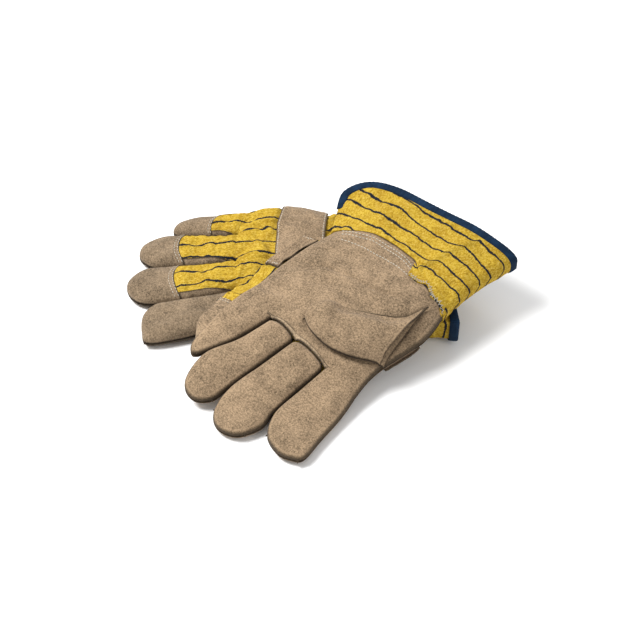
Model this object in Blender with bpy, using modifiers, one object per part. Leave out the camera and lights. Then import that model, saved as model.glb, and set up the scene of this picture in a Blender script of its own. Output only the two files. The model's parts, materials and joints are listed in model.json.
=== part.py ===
"""A pair of canvas-backed split-leather work gloves, the left one lying palm up across the right one.

Each glove has its own flat pattern frame, in millimetres: the wrist is at y = 0, the fingertips are
towards +y, the thumb side is -x, and z is up from what the glove lies on. Seen from above, a left
glove lying palm up and a right glove lying palm down have the same outline, so one set of functions
makes both, with the palm and the back changing places.
"""

import math

import bmesh
import bpy
import numpy as np

MM = 0.001
CENTRE = (-0.5, 6.45)   # middle of the pair in plan, which becomes the origin

# Driving dimensions, in millimetres
GAP = 0.3               # between two pieces that touch
LEATHER = 1.3           # split leather
CANVAS = 0.9            # back and cuff cloth
COTTON = 0.7            # lining cloth
ELASTIC = 1.0
TAPE = 0.8              # cuff binding
SEAM_HALF = 1.85        # half the height of the glove just inside a seam
SEAM_RAISE = 3.4        # the left glove's little-finger seam lies this much above the middle
BACK_BULGE = 19.0       # and its back stands out about this much beyond that seam
BULGE_REACH = 24.0      # as far as this from the seam
SEAM_LIP = 0.55         # half the space between the two edges that meet at a seam
FINGER_GAP = 0.8        # half the space between two neighbouring fingers, which curl past each other
BINDING_DEPTH = 5.0     # how far the binding covers the cuff
BINDING_FIT = 0.85      # space between the binding and the cuff
CUFF_START = 0.02       # part of the cuff's length that the wrist seam takes
LINING_GAP = 1.0        # between a lining and the piece it lines
LINING_INSET = 0.16     # the part of a finger's width that its lining leaves free on each side
STRAP_ACROSS = (0.06, 0.982)                  # the strap, as parts of the hand's width from the thumb side
ELASTIC_ACROSS = (0.28, 0.86)
ELASTIC_ALONG = ((0.10, 0.10), (0.19, 0.19))  # its two edges, as parts of the way from wrist to knuckles
LINING_ACROSS = (0.13, 0.85)
LINING_ALONG = ((0.16, 0.16), (0.93, 0.93))
HAND_COLUMNS = 20       # faces across the hand, before those added at its edge
THUMB_RADIUS = 12.0     # edge rounding of the thumb
THUMB_RISE = 4.4
THUMB_FALL = 1.6
CAP_SEAM_GAP = 1.4      # between a canvas finger back and its leather fingertip
THUMB_CLEARANCE = 2.2   # between the folded thumb and the palm under it
STRAP_CLEARANCE = 1.0   # between the knuckle strap and the cloth under it

FINGER_LENGTH = 75.0    # about, to turn a gap into a part of it
HAND_LENGTH = 95.0
FINGERTIP = (0.40, 0.60)                      # the stretch of a finger's outline that is its tip
THUMB_LINING_ACROSS = (0.22, 0.78)
THUMB_LINING_ALONG = (0.06, 0.80)
FINGER_LINING_ALONG = (0.02, 0.86)
FINGER_ROWS = 7         # faces along a finger's whole panel
FINGER_COLUMNS = 8

# The pile that the left glove lies on: how high it is, and where each rise starts and how long it is
HAND_PILE = (21.0, -95.0, 100.0)
STRAP_PILE = (1.8, -95.0, 60.0)
CUFF_PILE = (3.8, -55.0, 50.0)
CUFF_PILE_ACROSS = (5.0, 65.0)
CLEAR_OF_TABLE = 0.4

# The bulge of the left glove's back: where it starts and over what length, across and along the glove
BULGE_FROM_THUMB = (38.0, 14.0)
BULGE_FROM_WRIST = (-6.0, 16.0)
BULGE_TO_TIP = (118.0, 28.0)

TURNED_EDGE = np.array([0.915, 0.93, 0.945, 0.96, 0.972, 0.982, 0.99])   # places across the hand
RIM_STEPS = np.concatenate([np.linspace(0.03, 0.94, 15), [0.975, 0.997]])  # places along the cuff's rim

FINGERS = ("index", "middle", "ring", "little")
CANVAS_BACKED = ("middle", "ring", "little")

LEATHER_COLOUR = (0.36, 0.26, 0.19, 1.0)
CANVAS_COLOUR = (0.74, 0.50, 0.035, 1.0)
BINDING_COLOUR = (0.02, 0.06, 0.17, 1.0)
COTTON_COLOUR = (0.72, 0.68, 0.58, 1.0)
ELASTIC_COLOUR = (0.55, 0.52, 0.45, 1.0)

# Heights down each glove: distance from the wrist, edge rounding radius, rise of the upper sheet,
# fall of the lower sheet, height of the seam, and half the height at the thumb and little-finger seams
LEFT_PROFILE = (
    (-72.0, 42.0, 15.0, 8.5, 12.0, 2.3, 6.0),
    (0.0, 24.0, 11.0, 4.0, 6.5, 1.85, 1.85),
    (40.0, 15.0, 6.5, 3.5, 5.8, 1.85, 1.85),
    (88.0, 14.0, 6.0, 3.5, 5.6, 1.85, 1.85),
    (170.0, 12.0, 4.5, 2.4, 4.4, 1.85, 1.85),
)
RIGHT_PROFILE = (
    (-72.0, 36.0, 2.5, 4.0, 14.2, 8.5, 5.0),
    (0.0, 20.0, 11.0, 4.0, 5.85, 1.85, 1.85),
    (40.0, 15.0, 9.0, 5.0, 6.85, 1.85, 1.85),
    (88.0, 14.0, 8.0, 4.5, 6.35, 1.85, 1.85),
    (182.0, 12.0, 5.0, 3.0, 4.85, 1.85, 1.85),
)

# Flat patterns: the seams between fingers from the index side outwards, and each fingertip
LEFT_PATTERN = {
    "gaps": (
        ((-53.5, 88.0), (-57.0, 104.0), (-61.0, 128.0)),
        ((-24.0, 88.0), (-22.5, 114.0), (-22.5, 136.0)),
        ((5.5, 88.0), (9.5, 116.0), (13.5, 145.0)),
        ((29.5, 88.0), (34.5, 115.0), (43.5, 139.0)),
        ((60.0, 88.0), (59.5, 106.0), (57.0, 126.0)),
    ),
    "tips": (
        ((-64.5, 148.0), (-58.0, 154.5), (-48.0, 157.0), (-33.0, 152.0)),
        ((-24.5, 150.0), (-18.0, 166.0), (-4.0, 171.0), (8.0, 164.0)),
        ((16.0, 158.0), (24.0, 166.5), (34.5, 166.5), (41.0, 158.0)),
        ((46.5, 144.0), (50.0, 146.5), (54.0, 143.0), (56.0, 135.0)),
    ),
    "thumb_side": ((-58.0, 3.0), (-60.0, 14.0), (-60.0, 26.0), (-57.0, 39.0), (-52.5, 58.0), (-51.5, 72.0),
                   (-53.5, 88.0)),
    "little_side": ((60.0, -4.0), (61.5, 20.0), (61.5, 48.0), (59.0, 70.0), (60.0, 88.0)),
    "wrist_upper": ((60.0, -4.0), (48.0, -7.0), (23.0, -16.0), (-10.0, -15.0), (-19.0, -12.0),
                    (-28.0, -3.5), (-40.0, 0.0), (-58.0, 3.0)),
    "wrist_lower": ((60.0, -4.0), (20.0, -2.0), (-20.0, 0.0), (-58.0, 3.0)),
    "cuff_little_side": ((60.0, -4.0), (66.0, -12.0), (71.5, -22.0)),
    "rim": ((71.5, -22.0), (76.0, -36.0), (64.0, -51.0), (40.0, -58.0), (12.0, -61.0),
            (-23.0, -65.5), (-46.0, -68.0), (-64.0, -71.0)),
    "cuff_thumb_side": ((-58.0, 3.0), (-57.0, -20.0), (-59.0, -48.0), (-64.0, -71.0)),
    "caps": {"middle": 0.64, "ring": 0.62, "little": 0.16},
    "thumb": ((-50.0, 10.0), (-42.0, 28.0), (-14.0, 45.0), (3.0, 53.0), (11.0, 65.0),
              (6.0, 77.0), (-14.0, 80.5), (-36.0, 74.0), (-52.5, 61.0)),
    "strap": ((0.28, 0.12), (0.62, 0.57)),
}
RIGHT_PATTERN = {
    "gaps": (
        ((-58.0, 88.0), (-65.0, 106.0), (-72.0, 124.0)),
        ((-25.0, 88.0), (-31.0, 112.0), (-35.5, 136.0)),
        ((7.0, 90.0), (4.0, 118.0), (2.5, 142.0)),
        ((37.0, 90.0), (37.0, 112.0), (38.0, 128.0)),
        ((63.0, 82.0), (62.0, 98.0), (60.5, 108.0)),
    ),
    "tips": (
        ((-77.0, 150.0), (-66.0, 155.5), (-50.0, 156.0), (-39.0, 148.0)),
        ((-36.0, 156.0), (-28.0, 168.0), (-14.0, 171.0), (-1.0, 160.0)),
        ((4.5, 154.0), (14.0, 164.5), (27.0, 163.0), (37.0, 148.0)),
        ((39.5, 134.0), (44.0, 141.0), (53.0, 137.0), (59.5, 122.0)),
    ),
    "thumb_side": ((-58.5, 3.0), (-57.0, 24.0), (-56.0, 46.0), (-56.0, 68.0), (-58.0, 88.0)),
    "little_side": ((57.0, -2.0), (60.0, 20.0), (67.0, 48.0), (66.0, 68.0), (63.0, 82.0)),
    "wrist_upper": ((57.0, -2.0), (20.0, -3.0), (-20.0, -1.0), (-58.5, 3.0)),
    "wrist_lower": ((57.0, -2.0), (48.0, -7.0), (23.0, -16.0), (-10.0, -15.0), (-19.0, -12.0),
                    (-28.0, -3.5), (-40.0, 0.0), (-58.5, 3.0)),
    "cuff_little_side": ((57.0, -2.0), (62.0, -12.0), (68.0, -22.0)),
    "rim": ((68.0, -22.0), (73.0, -38.0), (64.0, -54.0), (40.0, -61.0), (12.0, -64.0),
            (-23.0, -68.0), (-46.0, -71.0), (-73.0, -74.0)),
    "cuff_thumb_side": ((-58.5, 3.0), (-62.0, -20.0), (-68.0, -48.0), (-73.0, -74.0)),
    "caps": {"middle": 0.56, "ring": 0.58, "little": 0.42},
    "thumb": ((-59.5, 10.0), (-72.0, 22.0), (-86.0, 46.0), (-91.0, 66.0), (-86.0, 80.0),
              (-76.0, 82.0), (-69.0, 70.0), (-63.5, 56.0), (-60.5, 42.0)),
    "strap": ((0.30, 0.24), (0.68, 0.66)),
}


def smooth_step(value):
    value = np.clip(value, 0.0, 1.0)
    return value * value * (3.0 - 2.0 * value)


def drape(x, y):
    """Height of what the left glove lies on: over the right glove's hand and cuff, down to the table."""
    def rise(pile):
        height, start, length = pile
        return height * smooth_step((y - start) / length)

    across_start, across_length = CUFF_PILE_ACROSS
    on_cuff = rise(CUFF_PILE) * smooth_step((x - across_start) / across_length)
    return CLEAR_OF_TABLE + rise(HAND_PILE) + on_cuff + rise(STRAP_PILE)


def table(x, y):
    return np.zeros_like(np.asarray(x, float) + np.asarray(y, float))


def smooth_curve(points):
    """A Catmull-Rom curve through the points, as a function of the part of its length, 0 to 1."""
    points = np.asarray(points, float)
    if len(points) == 2:
        return lambda t: points[0] + np.asarray(t, float)[..., None] * (points[1] - points[0])
    padded = np.vstack([2 * points[0] - points[1], points, 2 * points[-1] - points[-2]])
    dense = []
    for k in range(len(points) - 1):
        a, b, c, d = padded[k:k + 4]
        t = np.linspace(0.0, 1.0, 24, endpoint=False)[:, None]
        dense.append(0.5 * (2 * b + (c - a) * t + (2 * a - 5 * b + 4 * c - d) * t**2
                            + (3 * b - 3 * c + d - a) * t**3))
    dense = np.vstack(dense + [points[-1:]])
    length = np.concatenate([[0.0], np.cumsum(np.linalg.norm(np.diff(dense, axis=0), axis=1))])
    length /= length[-1]
    return lambda t: np.stack([np.interp(t, length, dense[:, 0]), np.interp(t, length, dense[:, 1])], -1)


def straight_runs(points):
    """Straight runs through the points, as a function of the part of their length, 0 to 1."""
    points = np.asarray(points, float)
    length = np.concatenate([[0.0], np.cumsum(np.linalg.norm(np.diff(points, axis=0), axis=1))])
    length /= length[-1]
    return lambda t: np.stack([np.interp(t, length, points[:, 0]), np.interp(t, length, points[:, 1])], -1)


def coons_patch(base, far, near_side, far_side):
    """The plan position inside four boundary curves; base and far run from near_side to far_side."""
    def place(s, t):
        s, t = np.asarray(s, float), np.asarray(t, float)
        across = (1 - t)[..., None] * base(s) + t[..., None] * far(s)
        along = (1 - s)[..., None] * near_side(t) + s[..., None] * far_side(t)
        corners = ((1 - s) * (1 - t))[..., None] * base(np.zeros_like(s))
        corners = corners + (s * (1 - t))[..., None] * base(np.ones_like(s))
        corners = corners + ((1 - s) * t)[..., None] * far(np.zeros_like(s))
        corners = corners + (s * t)[..., None] * far(np.ones_like(s))
        return across + along - corners
    return place


def sub_curve(curve, start, end):
    return lambda t: curve(start + (end - start) * np.asarray(t, float))


def fingertip_patch(base, outline):
    """The patch between a base line and an outline that runs from one end of it to the other."""
    first, last = FINGERTIP
    return coons_patch(base, sub_curve(outline, first, last),
                       sub_curve(outline, 0.0, first), sub_curve(outline, 1.0, last))


class Glove:
    """One glove's pattern and its two sheets, upper and lower, placed on what it lies on."""

    def __init__(self, side, wrist, heading, profile, pattern, ground):
        self.side = side
        self.wrist = np.array(wrist)
        turn = math.radians(heading)
        self.forward = np.array([math.cos(turn), math.sin(turn)])
        self.across = np.array([math.sin(turn), -math.cos(turn)])
        self.profile = np.array(profile)
        self.pattern = pattern
        self.ground = ground
        self.fingers = {name: self.finger_curves(i) for i, name in enumerate(FINGERS)}
        sides = [smooth_curve(pattern[k])(np.linspace(0, 1, 60))
                 for k in ("thumb_side", "little_side", "cuff_thumb_side", "cuff_little_side")]
        outlines = [curves["outline"](np.linspace(0, 1, 120)) for curves in self.fingers.values()]
        self.edges = [(line[:-1], line[1:]) for line in sides + outlines]

    def finger_curves(self, index):
        """A finger's outline from the base, round the tip and back, and its four-sided patch."""
        gaps = self.pattern["gaps"]
        near = np.array(gaps[index]) + [FINGER_GAP if index else 0.0, 0.0]
        far = np.array(gaps[index + 1]) - [FINGER_GAP if index < 3 else 0.0, 0.0]
        tip = np.array(self.pattern["tips"][index])
        outline = smooth_curve(np.vstack([near, tip, far[::-1]]))
        base = smooth_curve([near[0], far[0]])
        return {"outline": outline, "patch": fingertip_patch(base, outline)}

    def heights(self, y):
        columns = self.profile.T
        return [np.interp(y, columns[0], column) for column in columns[1:]]

    def edge_distance(self, plan):
        flat = plan.reshape(-1, 2)
        nearest = np.full(len(flat), np.inf)
        for start, end in self.edges:
            run = end - start
            size = np.maximum((run**2).sum(1), 1e-9)
            part = np.clip(((flat[:, None] - start) * run).sum(2) / size, 0, 1)
            gap = flat[:, None] - (start + part[..., None] * run)
            nearest = np.minimum(nearest, np.sqrt((gap**2).sum(2)).min(1))
        return nearest.reshape(plan.shape[:-1])

    def to_world(self, plan, z):
        flat = self.laid_out(plan) - np.array(CENTRE)
        return np.concatenate([flat, np.asarray(z, float)[..., None]], -1)

    def laid_out(self, plan):
        return self.wrist + plan[..., :1] * self.across + plan[..., 1:] * self.forward

    def ground_under(self, plan):
        place = self.laid_out(plan)
        return self.ground(place[..., 0], place[..., 1])

    def little_side(self, plan):
        """How far a place is towards the little-finger side of the left glove's hand, 0 to 1."""
        if self.side == "right":
            return np.zeros(plan.shape[:-1])
        return smooth_step((plan[..., 0] - 20.0) / 40.0) * smooth_step((plan[..., 1] + 6.0) / 30.0)

    def bulged(self, plan, upper):
        """The left glove's back stands out beyond its seam on the little-finger side."""
        if upper or self.side == "right":
            return plan
        inward = np.clip(self.edge_distance(plan) / BULGE_REACH, 0, 1)
        steps = [smooth_step((value - start) / length)
                 for value, (start, length) in ((plan[..., 0], BULGE_FROM_THUMB),
                                                (plan[..., 1], BULGE_FROM_WRIST),
                                                (plan[..., 1], BULGE_TO_TIP))]
        beside_seam, past_wrist, near_tip = steps
        out = BACK_BULGE * np.sin(np.pi * np.sqrt(inward)) * beside_seam * past_wrist * (1.0 - near_tip)
        return plan + np.stack([out, 0 * out], -1)

    def sheet_height(self, plan, upper, on_seam):
        """Height of the upper or lower sheet's outer face."""
        radius, rise, fall, seam, thumb_half, little_half = self.heights(plan[..., 1])
        shift = SEAM_RAISE * self.little_side(plan)
        rise, fall, seam = rise - shift, fall + shift, seam + shift
        depth = np.clip(self.edge_distance(plan) / radius, 0, 1)
        bulge = np.sqrt(1 - (1 - depth) ** 2)
        sideways = smooth_step((plan[..., 0] + 60.0) / 120.0)
        half = thumb_half + (little_half - thumb_half) * sideways
        lip = half - SEAM_HALF + SEAM_LIP
        middle = self.ground_under(plan) + seam
        if upper:
            return middle + np.where(on_seam, lip, half + rise * bulge)
        return middle - np.where(on_seam, lip, half + fall * bulge)

    def is_front(self, upper):
        return upper == (self.side == "left")


def offset_surface(surface, upper, distance):
    """The surface moved into the glove by distance, square to itself."""
    step = 1e-3

    def place(s, t):
        run_s = surface(s + step, t) - surface(s - step, t)
        run_t = surface(s, t + step) - surface(s, t - step)
        normal = np.cross(run_s, run_t)
        normal /= np.linalg.norm(normal, axis=-1)[..., None]
        outward = normal if (np.median(normal[..., 2]) > 0) == upper else -normal
        return surface(s, t) - distance * outward
    return place


def grid_object(name, s_values, t_values, place, thickness, material, outward_up):
    """A grid whose points are put in place by a formula, made a closed piece by Solidify."""
    columns, rows = len(s_values) - 1, len(t_values) - 1
    s, t = np.meshgrid(s_values, t_values, indexing="ij")
    points = place(s, t) * MM
    mesh = bpy.data.meshes.new(name)
    grid = bmesh.new()
    bmesh.ops.create_grid(grid, x_segments=columns, y_segments=rows, size=1.0)
    for vertex in grid.verts:
        i = round((vertex.co.x + 1) / 2 * columns)
        j = round((vertex.co.y + 1) / 2 * rows)
        vertex.co = points[i, j]
    if not outward_up:
        bmesh.ops.reverse_faces(grid, faces=grid.faces)
    grid.to_mesh(mesh)
    grid.free()
    mesh.shade_smooth()
    mesh.materials.append(material)
    piece = bpy.data.objects.new(name, mesh)
    parts.objects.link(piece)
    shell = piece.modifiers.new("thickness", "SOLIDIFY")
    shell.thickness = thickness * MM
    shell.offset = -1.0
    shell.use_rim = True
    return piece


def principled(name, colour, roughness):
    material = bpy.data.materials.new(name)
    material.use_nodes = True
    shader = material.node_tree.nodes["Principled BSDF"]
    shader.inputs["Base Color"].default_value = colour
    shader.inputs["Roughness"].default_value = roughness
    shader.inputs["Metallic"].default_value = 0.0
    return material


def seam_steps(count, lip=0.012):
    """Steps from 0 to 1 with a seam at both ends, closer together near the seams."""
    inner = 0.5 - 0.5 * np.cos(np.pi * np.linspace(0.13, 0.87, count - 3))
    return np.concatenate([[0.0, lip], inner, [1.0 - lip, 1.0]])


def hand_steps(count):
    """Steps across the hand, from the thumb side, with more of them where the back turns over the edge."""
    steps = seam_steps(count, 0.004)
    before, after = steps[steps < TURNED_EDGE[0] - 0.01], steps[steps > TURNED_EDGE[-1]]
    return np.concatenate([before, TURNED_EDGE, after])


def tip_steps(start, count):
    """Steps along a finger from start to its tip, closer together at the tip."""
    run = np.sin(np.linspace(0, np.pi / 2, count - 1)) * (0.985 - start) + start
    return np.concatenate([run, [1.0]])


def finger_sheet(glove, finger, part_name, upper, start, end, rows, thickness, material):
    """One panel of a finger, from start to end of its length; end 1 is the tip seam."""
    patch = glove.fingers[finger]["patch"]
    half_gap = GAP / FINGER_LENGTH
    at_tip = end >= 1.0
    if at_tip:
        t_values = tip_steps(start + (CAP_SEAM_GAP / FINGER_LENGTH if start else half_gap), rows)
    else:
        t_values = np.linspace(start + half_gap, end - half_gap, rows + 1)

    def place(s, t):
        plan = patch(s, t)
        on_seam = (s <= 0.0) | (s >= 1.0) | ((t >= 1.0) & at_tip)
        height = glove.sheet_height(plan, upper, on_seam)
        return glove.to_world(glove.bulged(plan, upper), height)

    return grid_object(f"{glove.side}_{finger}_{part_name}", seam_steps(FINGER_COLUMNS), t_values, place,
                       thickness, material, outward_up=upper)


def finger_lining(glove, finger, upper, material):
    """The cotton inside a finger's palm-side leather, clear of its seams."""
    patch = glove.fingers[finger]["patch"]

    def outer(s, t):
        plan = patch(s, t)
        return glove.to_world(plan, glove.sheet_height(plan, upper, np.zeros(s.shape, bool)))

    return grid_object(f"{glove.side}_{finger}_lining",
                       np.linspace(LINING_INSET, 1 - LINING_INSET, 6), np.linspace(*FINGER_LINING_ALONG, 8),
                       offset_surface(outer, upper, LEATHER + LINING_GAP), COTTON, material,
                       outward_up=upper)


def hand_patch(glove, upper):
    pattern = glove.pattern
    wrist = smooth_curve(pattern["wrist_upper" if upper else "wrist_lower"][::-1])
    knuckles = straight_runs([gap[0] for gap in pattern["gaps"]])
    return coons_patch(wrist, knuckles, smooth_curve(pattern["thumb_side"]),
                       smooth_curve(pattern["little_side"]))


def hand_sheet(glove, name, upper, columns, rows, thickness, material):
    """The palm or the back of the hand, from the cuff to the knuckle line."""
    patch = hand_patch(glove, upper)
    half_gap = 0.5 * GAP / HAND_LENGTH
    rows_at = np.linspace(half_gap, 1 - half_gap, rows + 1)

    def place(s, t):
        plan = patch(s, t)
        on_seam = (s <= 0.0) | (s >= 1.0)
        return glove.to_world(glove.bulged(plan, upper), glove.sheet_height(plan, upper, on_seam))

    return grid_object(f"{glove.side}_{name}", hand_steps(columns), rows_at, place, thickness, material,
                       outward_up=upper)


def hand_layer(glove, name, upper, s_range, t_low, t_high, rows, thickness, material, inset):
    """A piece on or under the hand's sheet; t_low and t_high are its edges at both ends of s_range."""
    patch = hand_patch(glove, upper)

    def outer(s, t):
        part = (s - s_range[0]) / (s_range[1] - s_range[0])
        low = t_low[0] + (t_low[1] - t_low[0]) * part
        high = t_high[0] + (t_high[1] - t_high[0]) * part
        plan = patch(s, low + (high - low) * t)
        height = glove.sheet_height(plan, upper, np.zeros(s.shape, bool))
        return glove.to_world(glove.bulged(plan, upper), height)

    steps = hand_steps(HAND_COLUMNS)
    inner = steps[(steps > s_range[0] + 0.005) & (steps < s_range[1] - 0.005)]
    s_values = np.concatenate([s_range[:1], inner, s_range[1:]])
    return grid_object(f"{glove.side}_{name}", s_values, np.linspace(0, 1, rows + 1),
                       offset_surface(outer, upper, inset), thickness, material, outward_up=upper)


def cuff_surface(glove):
    """The cuff as one cloth: the upper sheet, the fold on the thumb side, and the lower sheet."""
    pattern = glove.pattern
    little_side = smooth_curve(pattern["cuff_little_side"])
    thumb_side = smooth_curve(pattern["cuff_thumb_side"])
    rim = smooth_curve(pattern["rim"])
    patches = [coons_patch(smooth_curve(pattern[wrist]), rim, little_side, thumb_side)
               for wrist in ("wrist_upper", "wrist_lower")]

    def place(q, t):
        """q runs 0 to 1 over the upper sheet and 1 to 2 back over the lower one."""
        upper = q <= 1.0
        s = np.where(upper, q, 2.0 - q)
        plan = np.where(upper[..., None], patches[0](s, t), patches[1](s, t))
        on_edge = s <= 0.0
        heights = np.where(upper, glove.sheet_height(plan, True, on_edge),
                           glove.sheet_height(plan, False, on_edge))
        return glove.to_world(plan, heights)

    return place


def cuff(glove, material):
    s_values = np.concatenate([[0.0, 0.006], RIM_STEPS])
    q_values = np.concatenate([s_values, 2.0 - s_values[::-1]])
    return grid_object(f"{glove.side}_cuff", q_values, np.linspace(CUFF_START, 1.0, 6),
                       cuff_surface(glove), CANVAS, material, outward_up=True)


def rim_frames(glove, q_values):
    """Points round the rim, with the direction out of the cuff, and the mitred one off its outer face."""
    rim = smooth_curve(glove.pattern["rim"])
    upper = q_values <= 1.0
    s = np.where(upper, q_values, 2.0 - q_values)
    step = 0.004
    tangent = rim(np.minimum(s + step, 1.0)) - rim(np.maximum(s - step, 0.0))
    tangent /= np.linalg.norm(tangent, axis=1)[:, None]
    away = np.stack([-tangent[:, 1], tangent[:, 0]], 1)
    fold = smooth_curve(glove.pattern["cuff_thumb_side"])
    fold_run = fold(np.array([1.0])) - fold(np.array([0.9]))
    near_fold = smooth_step((s - 0.75) / 0.2)[:, None]
    away = (1 - near_fold) * away + near_fold * fold_run / np.linalg.norm(fold_run)
    reach = 2.0
    rows = []
    for plan in (rim(s), rim(s) - reach * away):
        never = np.zeros(s.shape, bool)
        above, below = glove.sheet_height(plan, True, never), glove.sheet_height(plan, False, never)
        rows.append(glove.to_world(plan, np.where(upper, above, below)))
    edge, inner = rows
    outward = edge - inner
    outward /= np.linalg.norm(outward, axis=1)[:, None]
    runs = np.diff(edge, axis=0)
    normals = np.cross(runs, outward[:-1] + outward[1:])
    normals /= np.linalg.norm(normals, axis=1)[:, None]
    before, after = np.vstack([normals[:1], normals]), np.vstack([normals, normals[-1:]])
    mitre = (before + after) / (1 + (before * after).sum(1))[:, None]
    return edge, outward, mitre


def binding(glove, material):
    """The tape folded over the rim: a U section carried round the edge of the cuff."""
    q_values = np.concatenate([RIM_STEPS, 2.0 - RIM_STEPS[::-1]])
    edge, outward, normal = rim_frames(glove, q_values)
    section = (
        (-BINDING_DEPTH, BINDING_FIT),
        (-0.5 * BINDING_DEPTH, BINDING_FIT),
        (BINDING_FIT, BINDING_FIT),
        (BINDING_FIT, -CANVAS - BINDING_FIT),
        (-0.5 * BINDING_DEPTH, -CANVAS - BINDING_FIT),
        (-BINDING_DEPTH, -CANVAS - BINDING_FIT),
    )
    rows = np.stack([edge + out * outward + up * normal for out, up in section], 1)

    def place(q, t):
        i = np.searchsorted(q_values, q - 1e-9)
        j = np.rint(t * (len(section) - 1)).astype(int)
        return rows[i, j]

    piece = grid_object(f"{glove.side}_cuff_binding", q_values, np.linspace(0, 1, len(section)),
                        place, TAPE, material, outward_up=True)
    piece.modifiers["thickness"].offset = 1.0
    return piece


def thumb(glove, upper_name, lower_name, leather, cotton, on_palm):
    """The wing thumb: two leather panels and a lining, on the palm or beside the hand."""
    outline_points = np.array(glove.pattern["thumb"])
    outline = smooth_curve(outline_points)
    base = smooth_curve([outline_points[0], outline_points[-1]])
    patch = fingertip_patch(base, outline)
    line = outline(np.linspace(0, 1, 160))
    starts, runs = line[:-1], np.diff(line, axis=0)

    def height(plan, upper, on_seam):
        part = np.clip(((plan[..., None, :] - starts) * runs).sum(-1) / (runs**2).sum(-1), 0, 1)
        gap = plan[..., None, :] - (starts + part[..., None] * runs)
        depth = np.clip(np.sqrt((gap**2).sum(-1)).min(-1) / THUMB_RADIUS, 0, 1)
        bulge = np.sqrt(1 - (1 - depth) ** 2)
        if on_palm:
            floor = glove.sheet_height(plan, True, np.zeros(on_seam.shape, bool)) + THUMB_CLEARANCE
        else:
            floor = glove.ground_under(plan)
        middle = floor + SEAM_HALF + THUMB_FALL
        if upper:
            return middle + np.where(on_seam, SEAM_LIP, SEAM_HALF + THUMB_RISE * bulge)
        return middle - np.where(on_seam, SEAM_LIP, SEAM_HALF + THUMB_FALL * bulge)

    def panel(name, upper, s_values, t_values, inset, thickness, material):
        def outer(s, t):
            on_seam = (s <= 0.0) | (s >= 1.0) | (t >= 1.0)
            plan = patch(s, t)
            return glove.to_world(plan, height(plan, upper, on_seam))
        place = offset_surface(outer, upper, inset) if inset else outer
        return grid_object(f"{glove.side}_{name}", s_values, t_values, place, thickness,
                           material, outward_up=upper != on_palm)

    across, along = seam_steps(9), tip_steps(0.0, 9)
    panel(upper_name, True, across, along, 0.0, LEATHER, leather)
    panel(lower_name, False, across, along, 0.0, LEATHER, leather)
    panel("thumb_lining", on_palm, np.linspace(*THUMB_LINING_ACROSS, 6),
          np.linspace(*THUMB_LINING_ALONG, 7), LEATHER + LINING_GAP, COTTON, cotton)


def build_glove(glove, materials):
    leather, canvas, cotton = materials["leather"], materials["canvas"], materials["cotton"]
    palm_up = glove.is_front(True)
    hand_sheet(glove, "palm", palm_up, HAND_COLUMNS, 10, LEATHER, leather)
    hand_sheet(glove, "back", not palm_up, HAND_COLUMNS, 9, CANVAS, canvas)
    for finger in FINGERS:
        finger_sheet(glove, finger, "front", palm_up, 0.0, 1.0, FINGER_ROWS, LEATHER, leather)
        finger_lining(glove, finger, palm_up, cotton)
        if finger in CANVAS_BACKED:
            cap = glove.pattern["caps"][finger]
            back_rows = max(2, round(FINGER_ROWS * cap))
            tip_rows = max(5, round(FINGER_ROWS * (1 - cap)))
            finger_sheet(glove, finger, "back", not palm_up, 0.0, cap, back_rows, CANVAS, canvas)
            finger_sheet(glove, finger, "tip", not palm_up, cap, 1.0, tip_rows, LEATHER, leather)
        else:
            finger_sheet(glove, finger, "back", not palm_up, 0.0, 1.0, FINGER_ROWS, LEATHER, leather)
    low, high = glove.pattern["strap"]
    hand_layer(glove, "knuckle_strap", not palm_up, STRAP_ACROSS, low, high,
               4, LEATHER, leather, inset=-(LEATHER + STRAP_CLEARANCE))
    hand_layer(glove, "wrist_elastic", not palm_up, ELASTIC_ACROSS, *ELASTIC_ALONG,
               1, ELASTIC, materials["elastic"], inset=CANVAS + LINING_GAP)
    hand_layer(glove, "palm_lining", palm_up, LINING_ACROSS, *LINING_ALONG,
               8, COTTON, cotton, inset=LEATHER + LINING_GAP)
    cuff(glove, canvas)
    binding(glove, materials["binding"])
    if palm_up:
        thumb(glove, "thumb_front", "thumb_back", leather, cotton, on_palm=True)
    else:
        thumb(glove, "thumb_back", "thumb_front", leather, cotton, on_palm=False)


for scene_object in list(bpy.data.objects):
    bpy.data.objects.remove(scene_object, do_unlink=True)

parts = bpy.data.collections.new("work_gloves")
bpy.context.scene.collection.children.link(parts)

shared_materials = {
    "leather": principled("split_leather", LEATHER_COLOUR, 0.95),
    "canvas": principled("striped_canvas", CANVAS_COLOUR, 0.9),
    "binding": principled("binding_tape", BINDING_COLOUR, 0.8),
    "cotton": principled("cotton_lining", COTTON_COLOUR, 0.9),
    "elastic": principled("elastic_tape", ELASTIC_COLOUR, 0.8),
}

right_glove = Glove("right", (25.0, 62.0), 180.0, RIGHT_PROFILE, RIGHT_PATTERN, table)
left_glove = Glove("left", (48.3, 28.1), 225.0, LEFT_PROFILE, LEFT_PATTERN, drape)
for one_glove in (right_glove, left_glove):
    build_glove(one_glove, shared_materials)
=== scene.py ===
"""The looks of the work gloves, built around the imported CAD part.

Each glove has its own flat pattern frame, in millimetres: the wrist is at y = 0, the fingertips are
towards +y, the thumb side is -x, and z is up from what the glove lies on. Every panel is a fine grid
over that pattern. Canvas gets its folds from a cloth simulation of the panel, and each panel keeps its
place in the cloth it was cut from, which the stripes and the weave follow.
"""

import json
import math

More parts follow.
